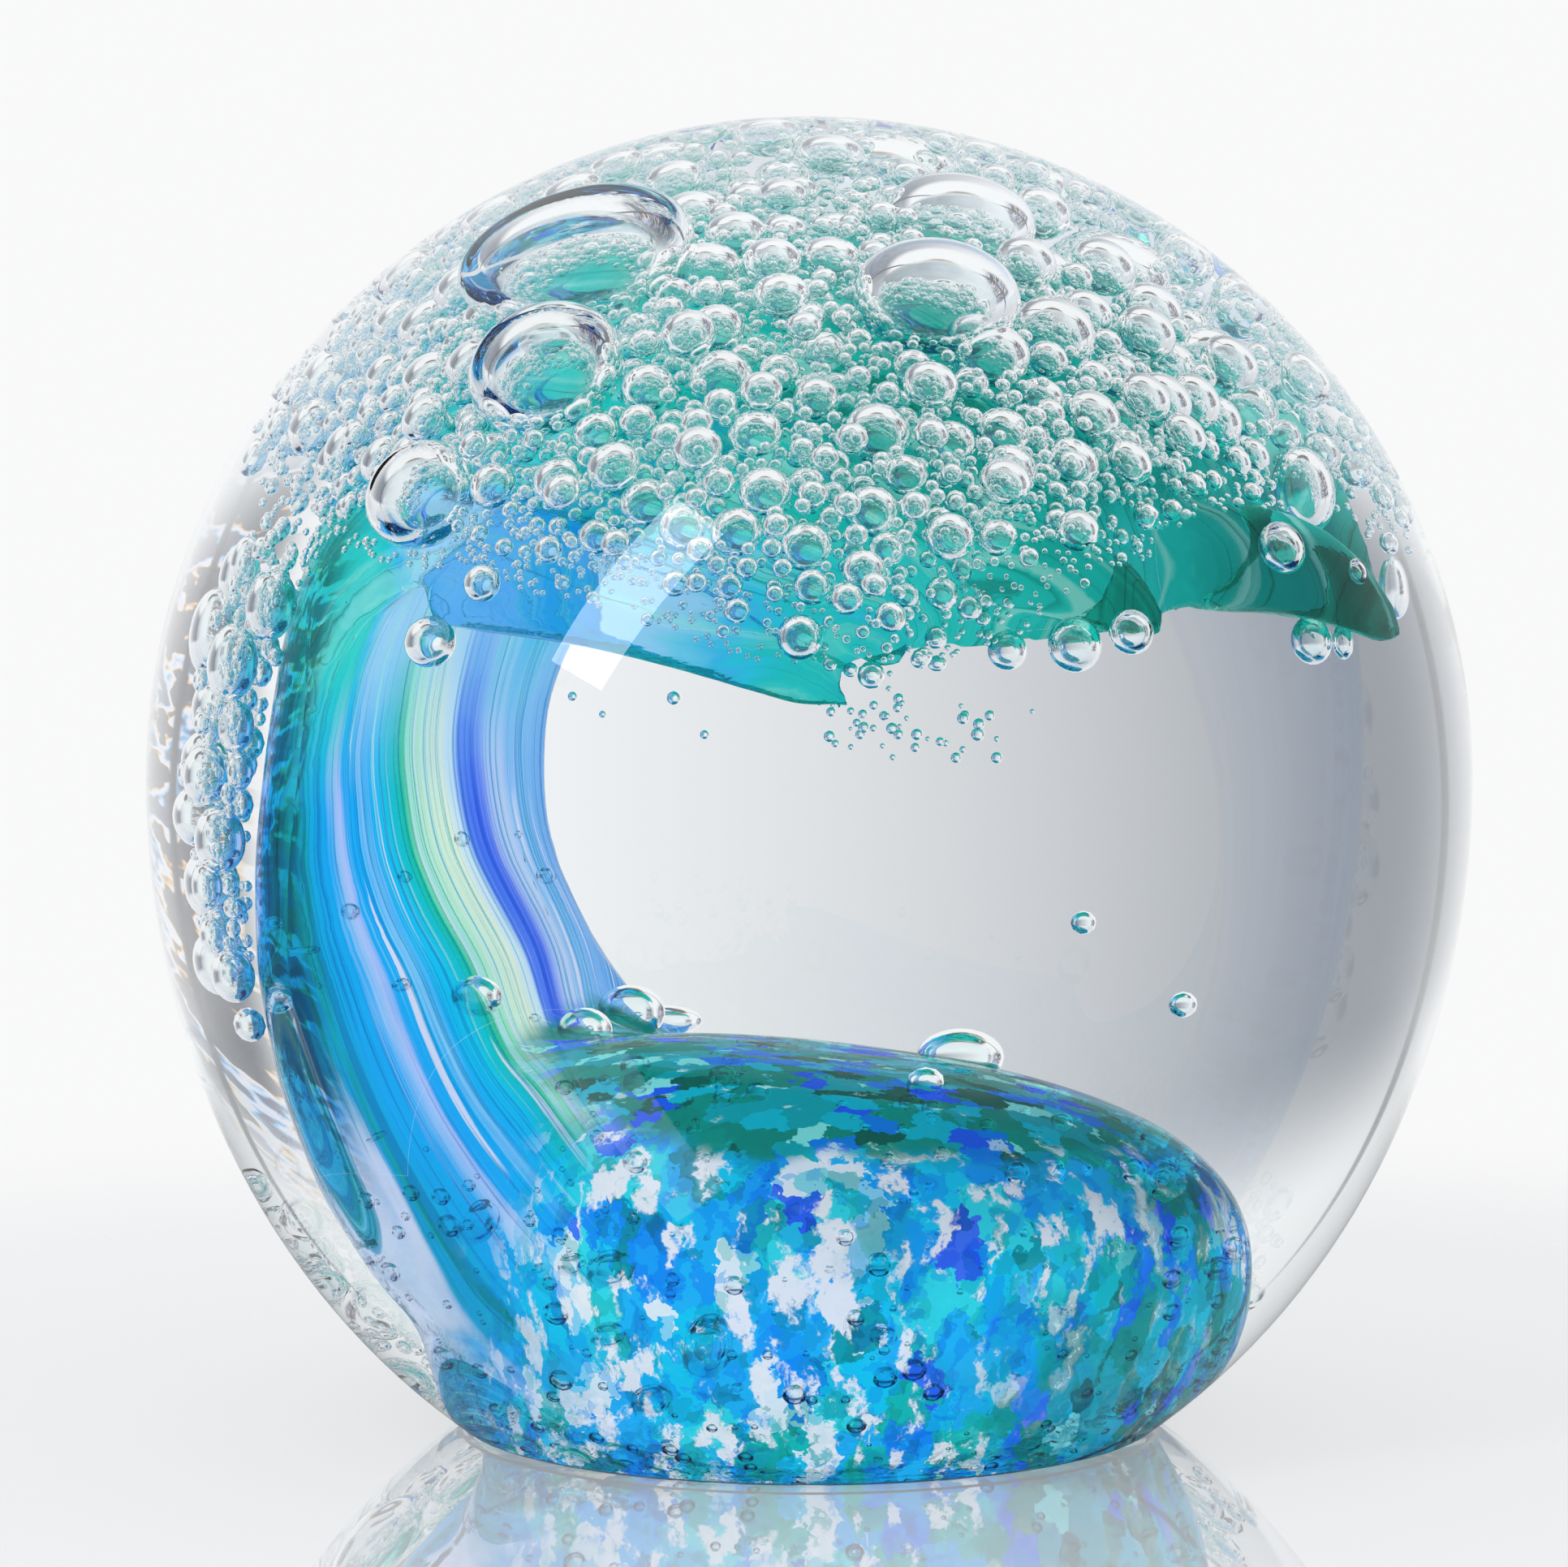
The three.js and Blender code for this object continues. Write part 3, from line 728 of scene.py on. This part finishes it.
along_wobble = hue.math("MULTIPLY_ADD", drift, along_drift, along)
colour = hue.mix(hue.smooth(along_wobble, *frit_to_streaks), frit, streaks)
surface = hue.node("NewGeometry").outputs
facing = hue.node("SeparateXYZ", {0: surface["Normal"]}).outputs
# Painted shade on the flat top: faces turned upwards take the deep chips, which stand partly for the depth
# of coloured glass seen there.
level = hue.smooth(hue.math("MULTIPLY_ADD", drift, top_shade_drift, facing["Z"]), *top_shade_range)
colour = hue.mix(hue.math("MULTIPLY", level, hue.smooth(east, *top_shade_east)), colour, deep)
colour = hue.mix(hue.smooth(along_wobble, *streaks_to_wash), colour, wash)
# Painted shade: where the skin is seen at a slant, the colour is multiplied towards dark green.
edge = hue.node("LayerWeight", {"Blend": edge_shade_blend}).outputs["Facing"]
colour = hue.mix(hue.smooth(edge, *edge_shade_range), colour, linear(edge_shade_green), "MULTIPLY")
colour = hue.mix(1.0, colour, colour, "MULTIPLY")
colour = hue.mix(hue.math("MULTIPLY", surface["Backfacing"], leaving_share), colour, linear(leaving_white))
hue.tree.nodes.new("NodeGroupOutput")
hue.tree.links.new(colour, hue.tree.nodes["Group Output"].inputs[0])

# Coloured glass. It bends light hardly more than the clear glass round it, and fine cords in it
# ripple its skin.
coloured_index = 1.03
cord_stretch = (1.0, 1.0, 0.4)
cord_scale = 420.0
cord_strength = 0.12
cord_depth = 0.001


def wave_glass(name, piece):
    """The coloured glass of the wave, given to the piece."""
    made = new_material(name, piece)
    colours = made.node("Group")
    colours.node_tree = colour_tree
    place = made.node("TexCoord").outputs["Object"]
    cords = made.noise(made.vector("MULTIPLY", place, cord_stretch), cord_scale, detail=3.0)
    uneven = made.node("Bump", {"Strength": cord_strength, "Distance": cord_depth, "Height": cords})
    as_glass(made, colours.outputs[0], coloured_index, Normal=uneven.outputs[0])


# Joints between the gathers. Glass fused to glass has no face of its own there, so the cut faces are
# clear through.
crest_line = -0.0115
streak_line = 0.021
neck_line = 0.038
far = 0.1
joint_grow = 0.0012
joint_gap = 0.000005
joint_tint = "#fbfeff"
joint_scale = 200.0

joint = bpy.data.materials.new("fused joint")
joint.use_nodes = True
joint.node_tree.nodes.clear()
fused = Tree(joint.node_tree)
place = fused.node("TexCoord").outputs["Object"]
faint = fused.mix(fused.noise(place, joint_scale), (1, 1, 1, 1), linear(joint_tint))
see_through = fused.node("BsdfPrincipled", {"Base Color": faint, "Alpha": 0.0})
fused.node("OutputMaterial", {"Surface": see_through.outputs[0]})


def block(out_low, out_high, low, high, grow=0.0):
    """A block in the wave's own directions that reaches past both edges of the curl."""
    out_low, out_high, low, high = out_low - grow, out_high + grow, low - grow, high + grow
    middle = out_way * (out_low + out_high) / 2 + Vector((0, 0, (low + high) / 2))
    bpy.ops.object.select_all(action="DESELECT")
    bpy.ops.mesh.primitive_cube_add(size=1, location=middle, rotation=(0, 0, wave_turn),
                                    scale=(out_high - out_low, 2 * far, high - low))
    made = settle("cutter")
    made.data.materials.append(joint)
    return made


def cut(piece, cutter, operation):
    """Parts the piece at the cutter's faces."""
    apply(piece, "BOOLEAN", object=cutter, operation=operation, solver="MANIFOLD",
          material_mode="TRANSFER")


def share_of_wave(name):
    """A copy of the whole wave, to be parted."""
    piece = bpy.data.objects.new(name, whole.data.copy())
    piece.data.name = name
    scene.collection.objects.link(piece)
    return piece


def finish_wave_piece(piece, slot, *nodes):
    """Smooths the skin but not the cut edges, stores the flow and hides the CAD parts that it stands in
    for.
    """
    only(piece)
    bpy.ops.object.shade_smooth_by_angle(angle=skin_crease)
    store_flow(piece)
    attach(piece, "root")
    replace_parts(piece, *nodes)


curl_block = block(-far, crest_line, streak_line, far)
crest_block = block(crest_line + joint_gap, far, neck_line, far)
wide_curl_block = block(-far, crest_line, streak_line, far, joint_gap)
wide_crest_block = block(crest_line, far, neck_line, far, joint_gap)

# Body of the wave. A low mound rolled in crushed frit: azure, turquoise, teal and cobalt chips with
# clear and pale lavender glass between them.
body = share_of_wave("wave_body")
wave_glass("frit glass", body)
cut(body, wide_curl_block, "DIFFERENCE")
cut(body, wide_crest_block, "DIFFERENCE")
finish_wave_piece(body, "frit_glass", "frit_skin")

# Curl. The neck of the wave, where the frit on the hot glass was drawn out into long streaks. It is
# fused to the body below it and runs on into the crest.
curl = share_of_wave("wave_curl")
wave_glass("streaked glass", curl)
cut(curl, curl_block, "INTERSECT")
finish_wave_piece(curl, "streak_glass", "curl_skin")

# Crest and its pulled tips. The sheet breaks over the hollow and ends in a blue lip and four green
# fingers that were pulled out of it with tweezers.
crest = share_of_wave("crest")
wave_glass("crest glass", crest)
cut(crest, crest_block, "INTERSECT")
for node in tip_nodes:
    grown = copy_of(node, "grown_" + node)
    grown.data.materials.clear()
    apply(grown, "DISPLACE", strength=joint_grow, mid_level=0)
    apply(grown, "REMESH", mode="VOXEL", voxel_size=voxel)
    grown.data.materials.append(joint)
    tip = share_of_wave(node.replace("crest_", "").replace("curl_", "crest_"))
    wave_glass("lip glass" if node == "curl_lip" else "finger glass", tip)
    cut(tip, grown, "INTERSECT")
    apply(grown, "DISPLACE", strength=joint_gap, mid_level=0)
    cut(crest, grown, "DIFFERENCE")
    finish_wave_piece(tip, "lip_glass" if node == "curl_lip" else "crest_glass", node)
    bpy.data.objects.remove(grown)
finish_wave_piece(crest, "crest_glass", "crest_sheet")

# Core. The clear gather under the skin of frit, with a breath of lavender in it. It is the whole wave
# again, a little smaller.
core_depth = 0.0014
core_index = 1.005
core_white = "#ffffff"
core_lilac = "#f4f6ff"
breath_scale = 110.0
breath_range = (0.42, 0.62)

core = share_of_wave("wave_core")
apply(core, "DISPLACE", strength=-core_depth, mid_level=0)
resize_below(core, lowest_glass + core_depth / 2, 0)
core_glass = new_material("core glass", core)
place = core_glass.node("TexCoord").outputs["Object"]
breath = core_glass.smooth(core_glass.noise(place, breath_scale, detail=3.0), *breath_range)
lilac = core_glass.mix(breath, linear(core_white), linear(core_lilac))
as_glass(core_glass, lilac, core_index)
cut(core, wide_crest_block, "DIFFERENCE")
only(core)
bpy.ops.object.shade_smooth_by_angle(angle=skin_crease)
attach(core, "root")
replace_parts(core, "clear_core")


# Bubbles. Each is a pocket of air in the glass, so light bends the other way at its skin: the material
# has the index of air against glass. Small ones have fewer faces.
wave_tree = BVHTree.FromObject(whole, bpy.context.evaluated_depsgraph_get())
air_index = 1 / glass_index
air_white = "#ffffff"
air_tint = "#eefcfc"
air_scale = 150.0
few_faces = 2
more_faces = 3
most_faces = 4
more_faces_from = 0.0009
most_faces_from = 0.0018
ball_skin = 0.0012
chance = np.random.default_rng(7)

templates = {}
for detail in (few_faces, more_faces, most_faces):
    bpy.ops.object.select_all(action="DESELECT")
    bpy.ops.mesh.primitive_ico_sphere_add(subdivisions=detail, radius=1, location=(0, 0, 0))
    pattern = bpy.context.object
    triangles = np.array([list(face.vertices) for face in pattern.data.polygons])
    templates[detail] = (points_of(pattern), triangles)
    bpy.data.objects.remove(pattern)


def inside_ball(point, margin):
    """Whether a point lies inside the ball by at least this margin."""
    rise = point[2] - ball_middle
    stretch = 1 if rise > 0 else lower_stretch
    return point[0] ** 2 + point[1] ** 2 + (rise / stretch) ** 2 < (ball_radius - margin) ** 2


def air(name, piece):
    """Air in glass, with a faint uneven tint."""
    made = new_material(name, piece)
    place = made.node("TexCoord").outputs["Object"]
    tint = made.mix(made.noise(place, air_scale), linear(air_white), linear(air_tint))
    as_glass(made, tint, air_index)


def bubble_piece(name, finish, bubbles):
    """One piece of these bubbles, (centre, radii, axes) each, as closed round shells of air."""
    vertices, faces, total = [], [], 0
    for centre, radii, axes in bubbles:
        size = max(radii)
        detail = few_faces
        if size >= more_faces_from:
            detail = more_faces if size < most_faces_from else most_faces
        points, triangles = templates[detail]
        vertices.append(centre + (points * radii) @ axes)
        faces.append(triangles + total)
        total += len(points)
    mesh = bpy.data.meshes.new(name)
    mesh.from_pydata(np.vstack(vertices).tolist(), [], np.vstack(faces).tolist())
    mesh.update()
    piece = bpy.data.objects.new(name, mesh)
    scene.collection.objects.link(piece)
    only(piece)
    bpy.ops.object.shade_smooth()
    air(finish, piece)
    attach(piece, "root")
    return piece


# Foam on the crest. Bubbles of many sizes crowd on the outer face of the curl from the back of the
# neck to the lip, deepest over the crown. They rose from a powder that was sprinkled on the hot glass.
foam_start = 0.044
foam_full = 0.056
foam_thin = 0.068
foam_end = 0.08
foam_thins_early = 0.01
foam_lowest = 0.04
foam_face = -0.15
foam_depth = 0.0022
foam_tries = 5000
foam_largest = 0.00135
foam_smallest = 0.00028
foam_least_share = 0.6
foam_steepness = 2.35
foam_seat = 0.75
foam_edge_thinning = 0.75
foam_flattest = 0.75
foam_in_piece = 1500
cell_size = 0.0036
squeeze = 0.95
side_turn = 1.3
side_rise_share = 0.2
some_way = Vector((math.cos(side_turn), math.sin(side_turn), side_rise_share))

big_ones = []
cells = {}


def axes_of(normal):
    """Three directions at right angles, the last along the normal."""
    normal = Vector(normal).normalized()
    side = some_way.cross(normal).normalized()
    return np.array([side, normal.cross(side), normal])


def free_at(centre, radius):
    """Whether a bubble of this size fits here beside the others."""
    x, y, z = (int(math.floor(c / cell_size)) for c in centre)
    beside = list(big_ones)
    for i in (x - 1, x, x + 1):
        for j in (y - 1, y, y + 1):
            for k in (z - 1, z, z + 1):
                beside += cells.get((i, j, k), ())
    return all(math.dist(centre, other) > (radius + size) * squeeze for other, size in beside)


def take(bubbles, centre, radii, axes):
    """Adds a bubble and keeps its room."""
    bubbles.append((np.array(centre), np.array(radii), axes))
    size = float(np.mean(radii))
    if size * 2 > cell_size:
        big_ones.append((tuple(centre), size))
    else:
        cell = tuple(int(math.floor(c / cell_size)) for c in centre)
        cells.setdefault(cell, []).append((tuple(centre), size))


def ray_at(across_pixel, down_pixel):
    """Where the line of sight through a pixel enters the ball, and its way on inside the glass."""
    frame_x = (across_pixel - picture_width / 2) / picture_width + camera.data.shift_x
    frame_y = (picture_height / 2 - down_pixel) / picture_width + camera.data.shift_y
    local = Vector((frame_x * sensor, frame_y * sensor, -lens)).normalized()
    way = camera.rotation_euler.to_matrix() @ local
    start = camera_place - Vector((0, 0, ball_middle))
    half = start.dot(way)
    depth = half * half - start.dot(start) + ball_radius ** 2
    if depth < 0:
        return None
    entry = start + way * (-half - math.sqrt(depth))
    if entry.z < 0:
        squash = Vector((1, 1, 1 / lower_stretch))
        low_start = start * squash
        low_way = way * squash
        half = low_start.dot(low_way) / low_way.dot(low_way)
        rest = (low_start.dot(low_start) - ball_radius ** 2) / low_way.dot(low_way)
        entry = start + way * (-half - math.sqrt(max(half * half - rest, 0)))
        normal = (entry * squash * squash).normalized()
    else:
        normal = entry.normalized()
    ratio = air_index
    cosine = -way.dot(normal)
    inner = way * ratio + normal * (ratio * cosine - math.sqrt(1 - ratio ** 2 * (1 - cosine ** 2)))
    return entry + Vector((0, 0, ball_middle)), inner.normalized()


# The large bubbles: across, down, width and height in the photograph's pixels. The ball is a lens, in
# which a metre looks as long as seen_scale says, in pixels.
seen_scale = 24000
large_lift = 0.8
lowest_bubble = 0.0006
sight_depths = np.arange(0.001, 0.075, 0.0004)
shift_share = 0.02
ball_centre = Vector((0, 0, ball_middle))
large_bubbles = [
    (705, 310, 270, 200), (672, 455, 185, 175), (520, 610, 140, 130), (1155, 365, 185, 150),
    (1180, 275, 150, 110), (1080, 205, 150, 100), (1360, 345, 120, 90), (1295, 415, 95, 90),
    (1220, 440, 88, 80), (888, 470, 75, 72), (870, 335, 80, 66), (535, 470, 72, 66),
    (1080, 535, 80, 76), (985, 785, 55, 55), (1070, 842, 34, 34), (1325, 793, 66, 66),
    (1605, 605, 62, 84), (1580, 675, 64, 62), (530, 790, 64, 60), (595, 722, 46, 46),
    (1328, 655, 54, 52), (1240, 800, 46, 46), (1395, 785, 58, 56), (1612, 835, 54, 54),
    (1673, 705, 32, 32), (1650, 820, 30, 40), (1745, 725, 28, 58)]


def bubble_at(bubbles, across_pixel, down_pixel, width, height, lift):
    """A bubble seen at a pixel, this many pixels wide and high, resting on the wave's skin."""
    start, way = ray_at(across_pixel, down_pixel)
    spots = [start + way * depth for depth in sight_depths]
    found = [wave_tree.find_nearest(spot) for spot in spots]
    radius = (width + height) / 4 / seen_scale
    hits = [i for i, hit in enumerate(found) if hit[3] < radius * lift]
    at = hits[0] if hits else int(np.argmin([hit[3] for hit in found]))
    surface, normal = found[at][0], found[at][1]
    middle = surface + normal * radius * lift if not hits or hits[0] > 0 else spots[at]
    radii = (width / 2 / seen_scale, radius, height / 2 / seen_scale)
    middle.z = max(middle.z, radii[2] + lowest_bubble)
    while not inside_ball(middle, ball_skin + max(radii)):
        middle = middle + (ball_centre - middle) * shift_share
    take(bubbles, middle, radii, np.eye(3))


skin = whole.data
skin.calc_loop_triangles()
corners = points_of(whole)[np.array([t.vertices for t in skin.loop_triangles])]
face_normals = np.cross(corners[:, 1] - corners[:, 0], corners[:, 2] - corners[:, 0])
areas = np.linalg.norm(face_normals, axis=1)
face_normals /= areas[:, None]
middles = corners.mean(axis=1)
face_flow = flow_at(middles)


def scatter(weights, tries):
    """Random places on the wave's skin: (place, normal, flow) each, more of them where weights are."""
    odds = areas * weights
    picks = chance.choice(len(middles), size=tries, p=odds / odds.sum())
    return [(middles[i], face_normals[i], face_flow[i]) for i in picks]


def ease(value, low, high):
    """Smooth step from 0 at low to 1 at high."""
    t = np.clip((value - low) / (high - low), 0, 1)
    return t * t * (3 - 2 * t)


# The lower edge of the foam as the camera sees it, in the photograph's pixels, and how it frays. At
# the sides the foam keeps away from the ball's skin.
edge_across = [330, 430, 600, 780, 900, 1100, 1300, 1500, 1650, 1740]
edge_down = [640, 680, 730, 760, 810, 840, 740, 640, 640, 700]
foam_top = 130
fray = 160
edge_odds = 0.25
edge_size = 0.35
sight_tries = 19000
sight_steps = [0.001 * step for step in range(2, 72, 2)]
foam_reach = 0.0055
reach_share = 0.9
side_margin = 0.0025
side_top = 0.066
side_fade = 0.006
left_side = -0.012
left_reach = 0.0265

foam = []
for large_bubble in large_bubbles:
    bubble_at(foam, *large_bubble, large_lift)

spots = []
for _ in range(sight_tries):
    across_pixel = chance.uniform(edge_across[0], edge_across[-1])
    lowest = np.interp(across_pixel, edge_across, edge_down)
    down_pixel = chance.uniform(foam_top, lowest)
    sight = ray_at(across_pixel, down_pixel)
    if sight is None:
        continue
    place, normal, _, depth = wave_tree.ray_cast(*sight)
    if place is None:
        passed = [wave_tree.find_nearest(sight[0] + sight[1] * step) for step in sight_steps]
        place, normal, _, depth = min(passed, key=lambda found: found[3])
        if depth > foam_reach:
            continue
        place = place + normal * depth * reach_share
    thin = ease(lowest - down_pixel, 0, fray)
    if chance.random() < edge_odds + (1 - edge_odds) * thin:
        spots.append((np.array(place), np.array(normal), edge_size + (1 - edge_size) * thin))
on_outer_face = (face_flow[:, 2] < foam_face) & (middles[:, 2] > foam_lowest)
cover = ease(face_flow[:, 0], foam_start, foam_full) * (1 - ease(face_flow[:, 0], foam_thin, foam_end))
for point, normal, flow in scatter(np.where(on_outer_face, cover, 0), foam_tries):
    crown = ease(flow[0], foam_start, foam_full)
    crown *= 1 - ease(flow[0], foam_thin - foam_thins_early, foam_end)
    spots.append((point, normal, crown * (1 - foam_edge_thinning * min(1, abs(flow[1])) ** 2)))
chance.shuffle(spots)
sizes = np.sort(foam_smallest * chance.random(len(spots)) ** (-1 / foam_steepness))[::-1]
for (point, normal, deep), size in zip(spots, np.minimum(sizes, foam_largest)):
    radius = max(foam_smallest * foam_least_share, size * deep)
    centre = point + normal * (radius * foam_seat + foam_depth * deep * chance.random() ** 2)
    margin = ball_skin + side_margin * ease(side_top - centre[2], 0, side_fade)
    if centre[0] < left_side and (Vector(centre) - ball_centre).length > left_reach:
        continue
    if inside_ball(centre, margin + radius) and free_at(centre, radius):
        flat = foam_flattest + (1 - foam_flattest) * chance.random()
        take(foam, centre, (radius, radius, radius * flat), axes_of(normal))
foam.sort(key=lambda bubble: -max(bubble[1]))
for number, first in enumerate(range(0, len(foam), foam_in_piece)):
    foam_piece = bubble_piece(f"foam_crown_{number + 1}", "foam", foam[first:first + foam_in_piece])
    if number == 0:
        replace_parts(foam_piece, "foam_crown")


# Foam trail. A string of bubbles that was left down the back of the curl, beside its near edge, when
# the curl was pulled over.
trail_tries = 900
trail_reach = 0.0006
trail_stretch = 2
trail_margin = 0.004
trail_outmost = 0.0253
trail_largest = 0.0013
trail_smallest = 0.00025
trail_rarity = 4
trail_lengthening = 0.4

trail_points = points_of(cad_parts["foam_trail"])
trail = []
for share in np.sort(chance.random(trail_tries) ** trail_rarity)[::-1]:
    base = trail_points[chance.integers(len(trail_points))]
    spread = chance.normal(size=3) * trail_reach
    spread[2] *= trail_stretch
    centre = base + spread
    radius = trail_smallest + (trail_largest - trail_smallest) * share
    hit = wave_tree.find_nearest(centre)
    outside = (Vector(centre) - hit[0]).dot(hit[1]) > radius
    outmost = math.hypot(centre[0], centre[1], centre[2] - ball_middle)
    placed = outside and outmost < trail_outmost and inside_ball(centre, trail_margin + radius)
    if placed and free_at(centre, radius):
        long = 1 + trail_lengthening * chance.random()
        take(trail, centre, (radius, radius, radius * long), np.eye(3))
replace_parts(bubble_piece("bubble_trail", "trail bubbles", trail), "foam_trail")


# Seed bubbles. Small bubbles caught just under the skin of the body and the neck, with a few larger
# ones that the photograph shows there.
seed_tries = 520
seed_largest = 0.00075
seed_smallest = 0.00016
seed_rarity = 3
seed_depth = 0.0012
seed_lowest = 0.002
seed_lift = 0.1
neck_odds = 0.3
seed_pixels = [
    (1185, 1293, 80, 60), (1140, 1335, 40, 36), (775, 1250, 60, 56), (720, 1270, 52, 48),
    (585, 1230, 50, 46), (890, 1655, 36, 54), (855, 1230, 62, 30)]

seeds = []
for seed_pixel in seed_pixels:
    bubble_at(seeds, *seed_pixel, seed_lift)
body_weights = np.where(face_flow[:, 0] < streak_line, 1.0, neck_odds)
weights = np.where(face_flow[:, 0] < neck_line, body_weights, 0.0)
order = np.sort(chance.random(seed_tries) ** seed_rarity)[::-1]
for (point, normal, flow), share in zip(scatter(weights, seed_tries), order):
    radius = seed_smallest + (seed_largest - seed_smallest) * share
    centre = point - normal * (radius + seed_depth * chance.random())
    if centre[2] > seed_lowest + radius and free_at(centre, radius):
        take(seeds, centre, (radius, radius, radius), np.eye(3))
bubble_piece("seed_bubbles", "seed bubbles", seeds)


# Stray bubbles. A few float free in the clear glass under the crest, with a spray of specks below its
# blue lip.
stray_pixels = [(1335, 1137, 0.00055), (1458, 1238, 0.0006), (830, 860, 0.0003), (868, 905, 0.0002),
                (705, 858, 0.0002), (1205, 905, 0.0003), (1130, 905, 0.00026), (742, 880, 0.00015)]
stray_depth = 0.036
spray_across = (985, 1045, 1290)
spray_down = (850, 880, 955)
spray_specks = 40
spray_depth = (0.027, 0.033)
speck_shares = (0.35, 1.3)
speck_radius = 0.00022

strays = []
for across_pixel, down_pixel, radius in stray_pixels:
    start, way = ray_at(across_pixel, down_pixel)
    take(strays, start + way * stray_depth, (radius, radius, radius), np.eye(3))
for _ in range(spray_specks):
    across_pixel = chance.triangular(*spray_across)
    down_pixel = chance.triangular(*spray_down)
    start, way = ray_at(across_pixel, down_pixel)
    radius = speck_radius * chance.uniform(*speck_shares)
    centre = start + way * chance.uniform(*spray_depth)
    if free_at(centre, radius) and wave_tree.find_nearest(centre)[3] > radius:
        take(strays, centre, (radius, radius, radius), np.eye(3))
bubble_piece("stray_bubbles", "stray bubbles", strays)


# Shop waste. The whole wave and the blocks that parted it aren't pieces of the ornament, so they go.
for leftover in (whole, curl_block, crest_block, wide_curl_block, wide_crest_block):
    bpy.data.objects.remove(leftover)
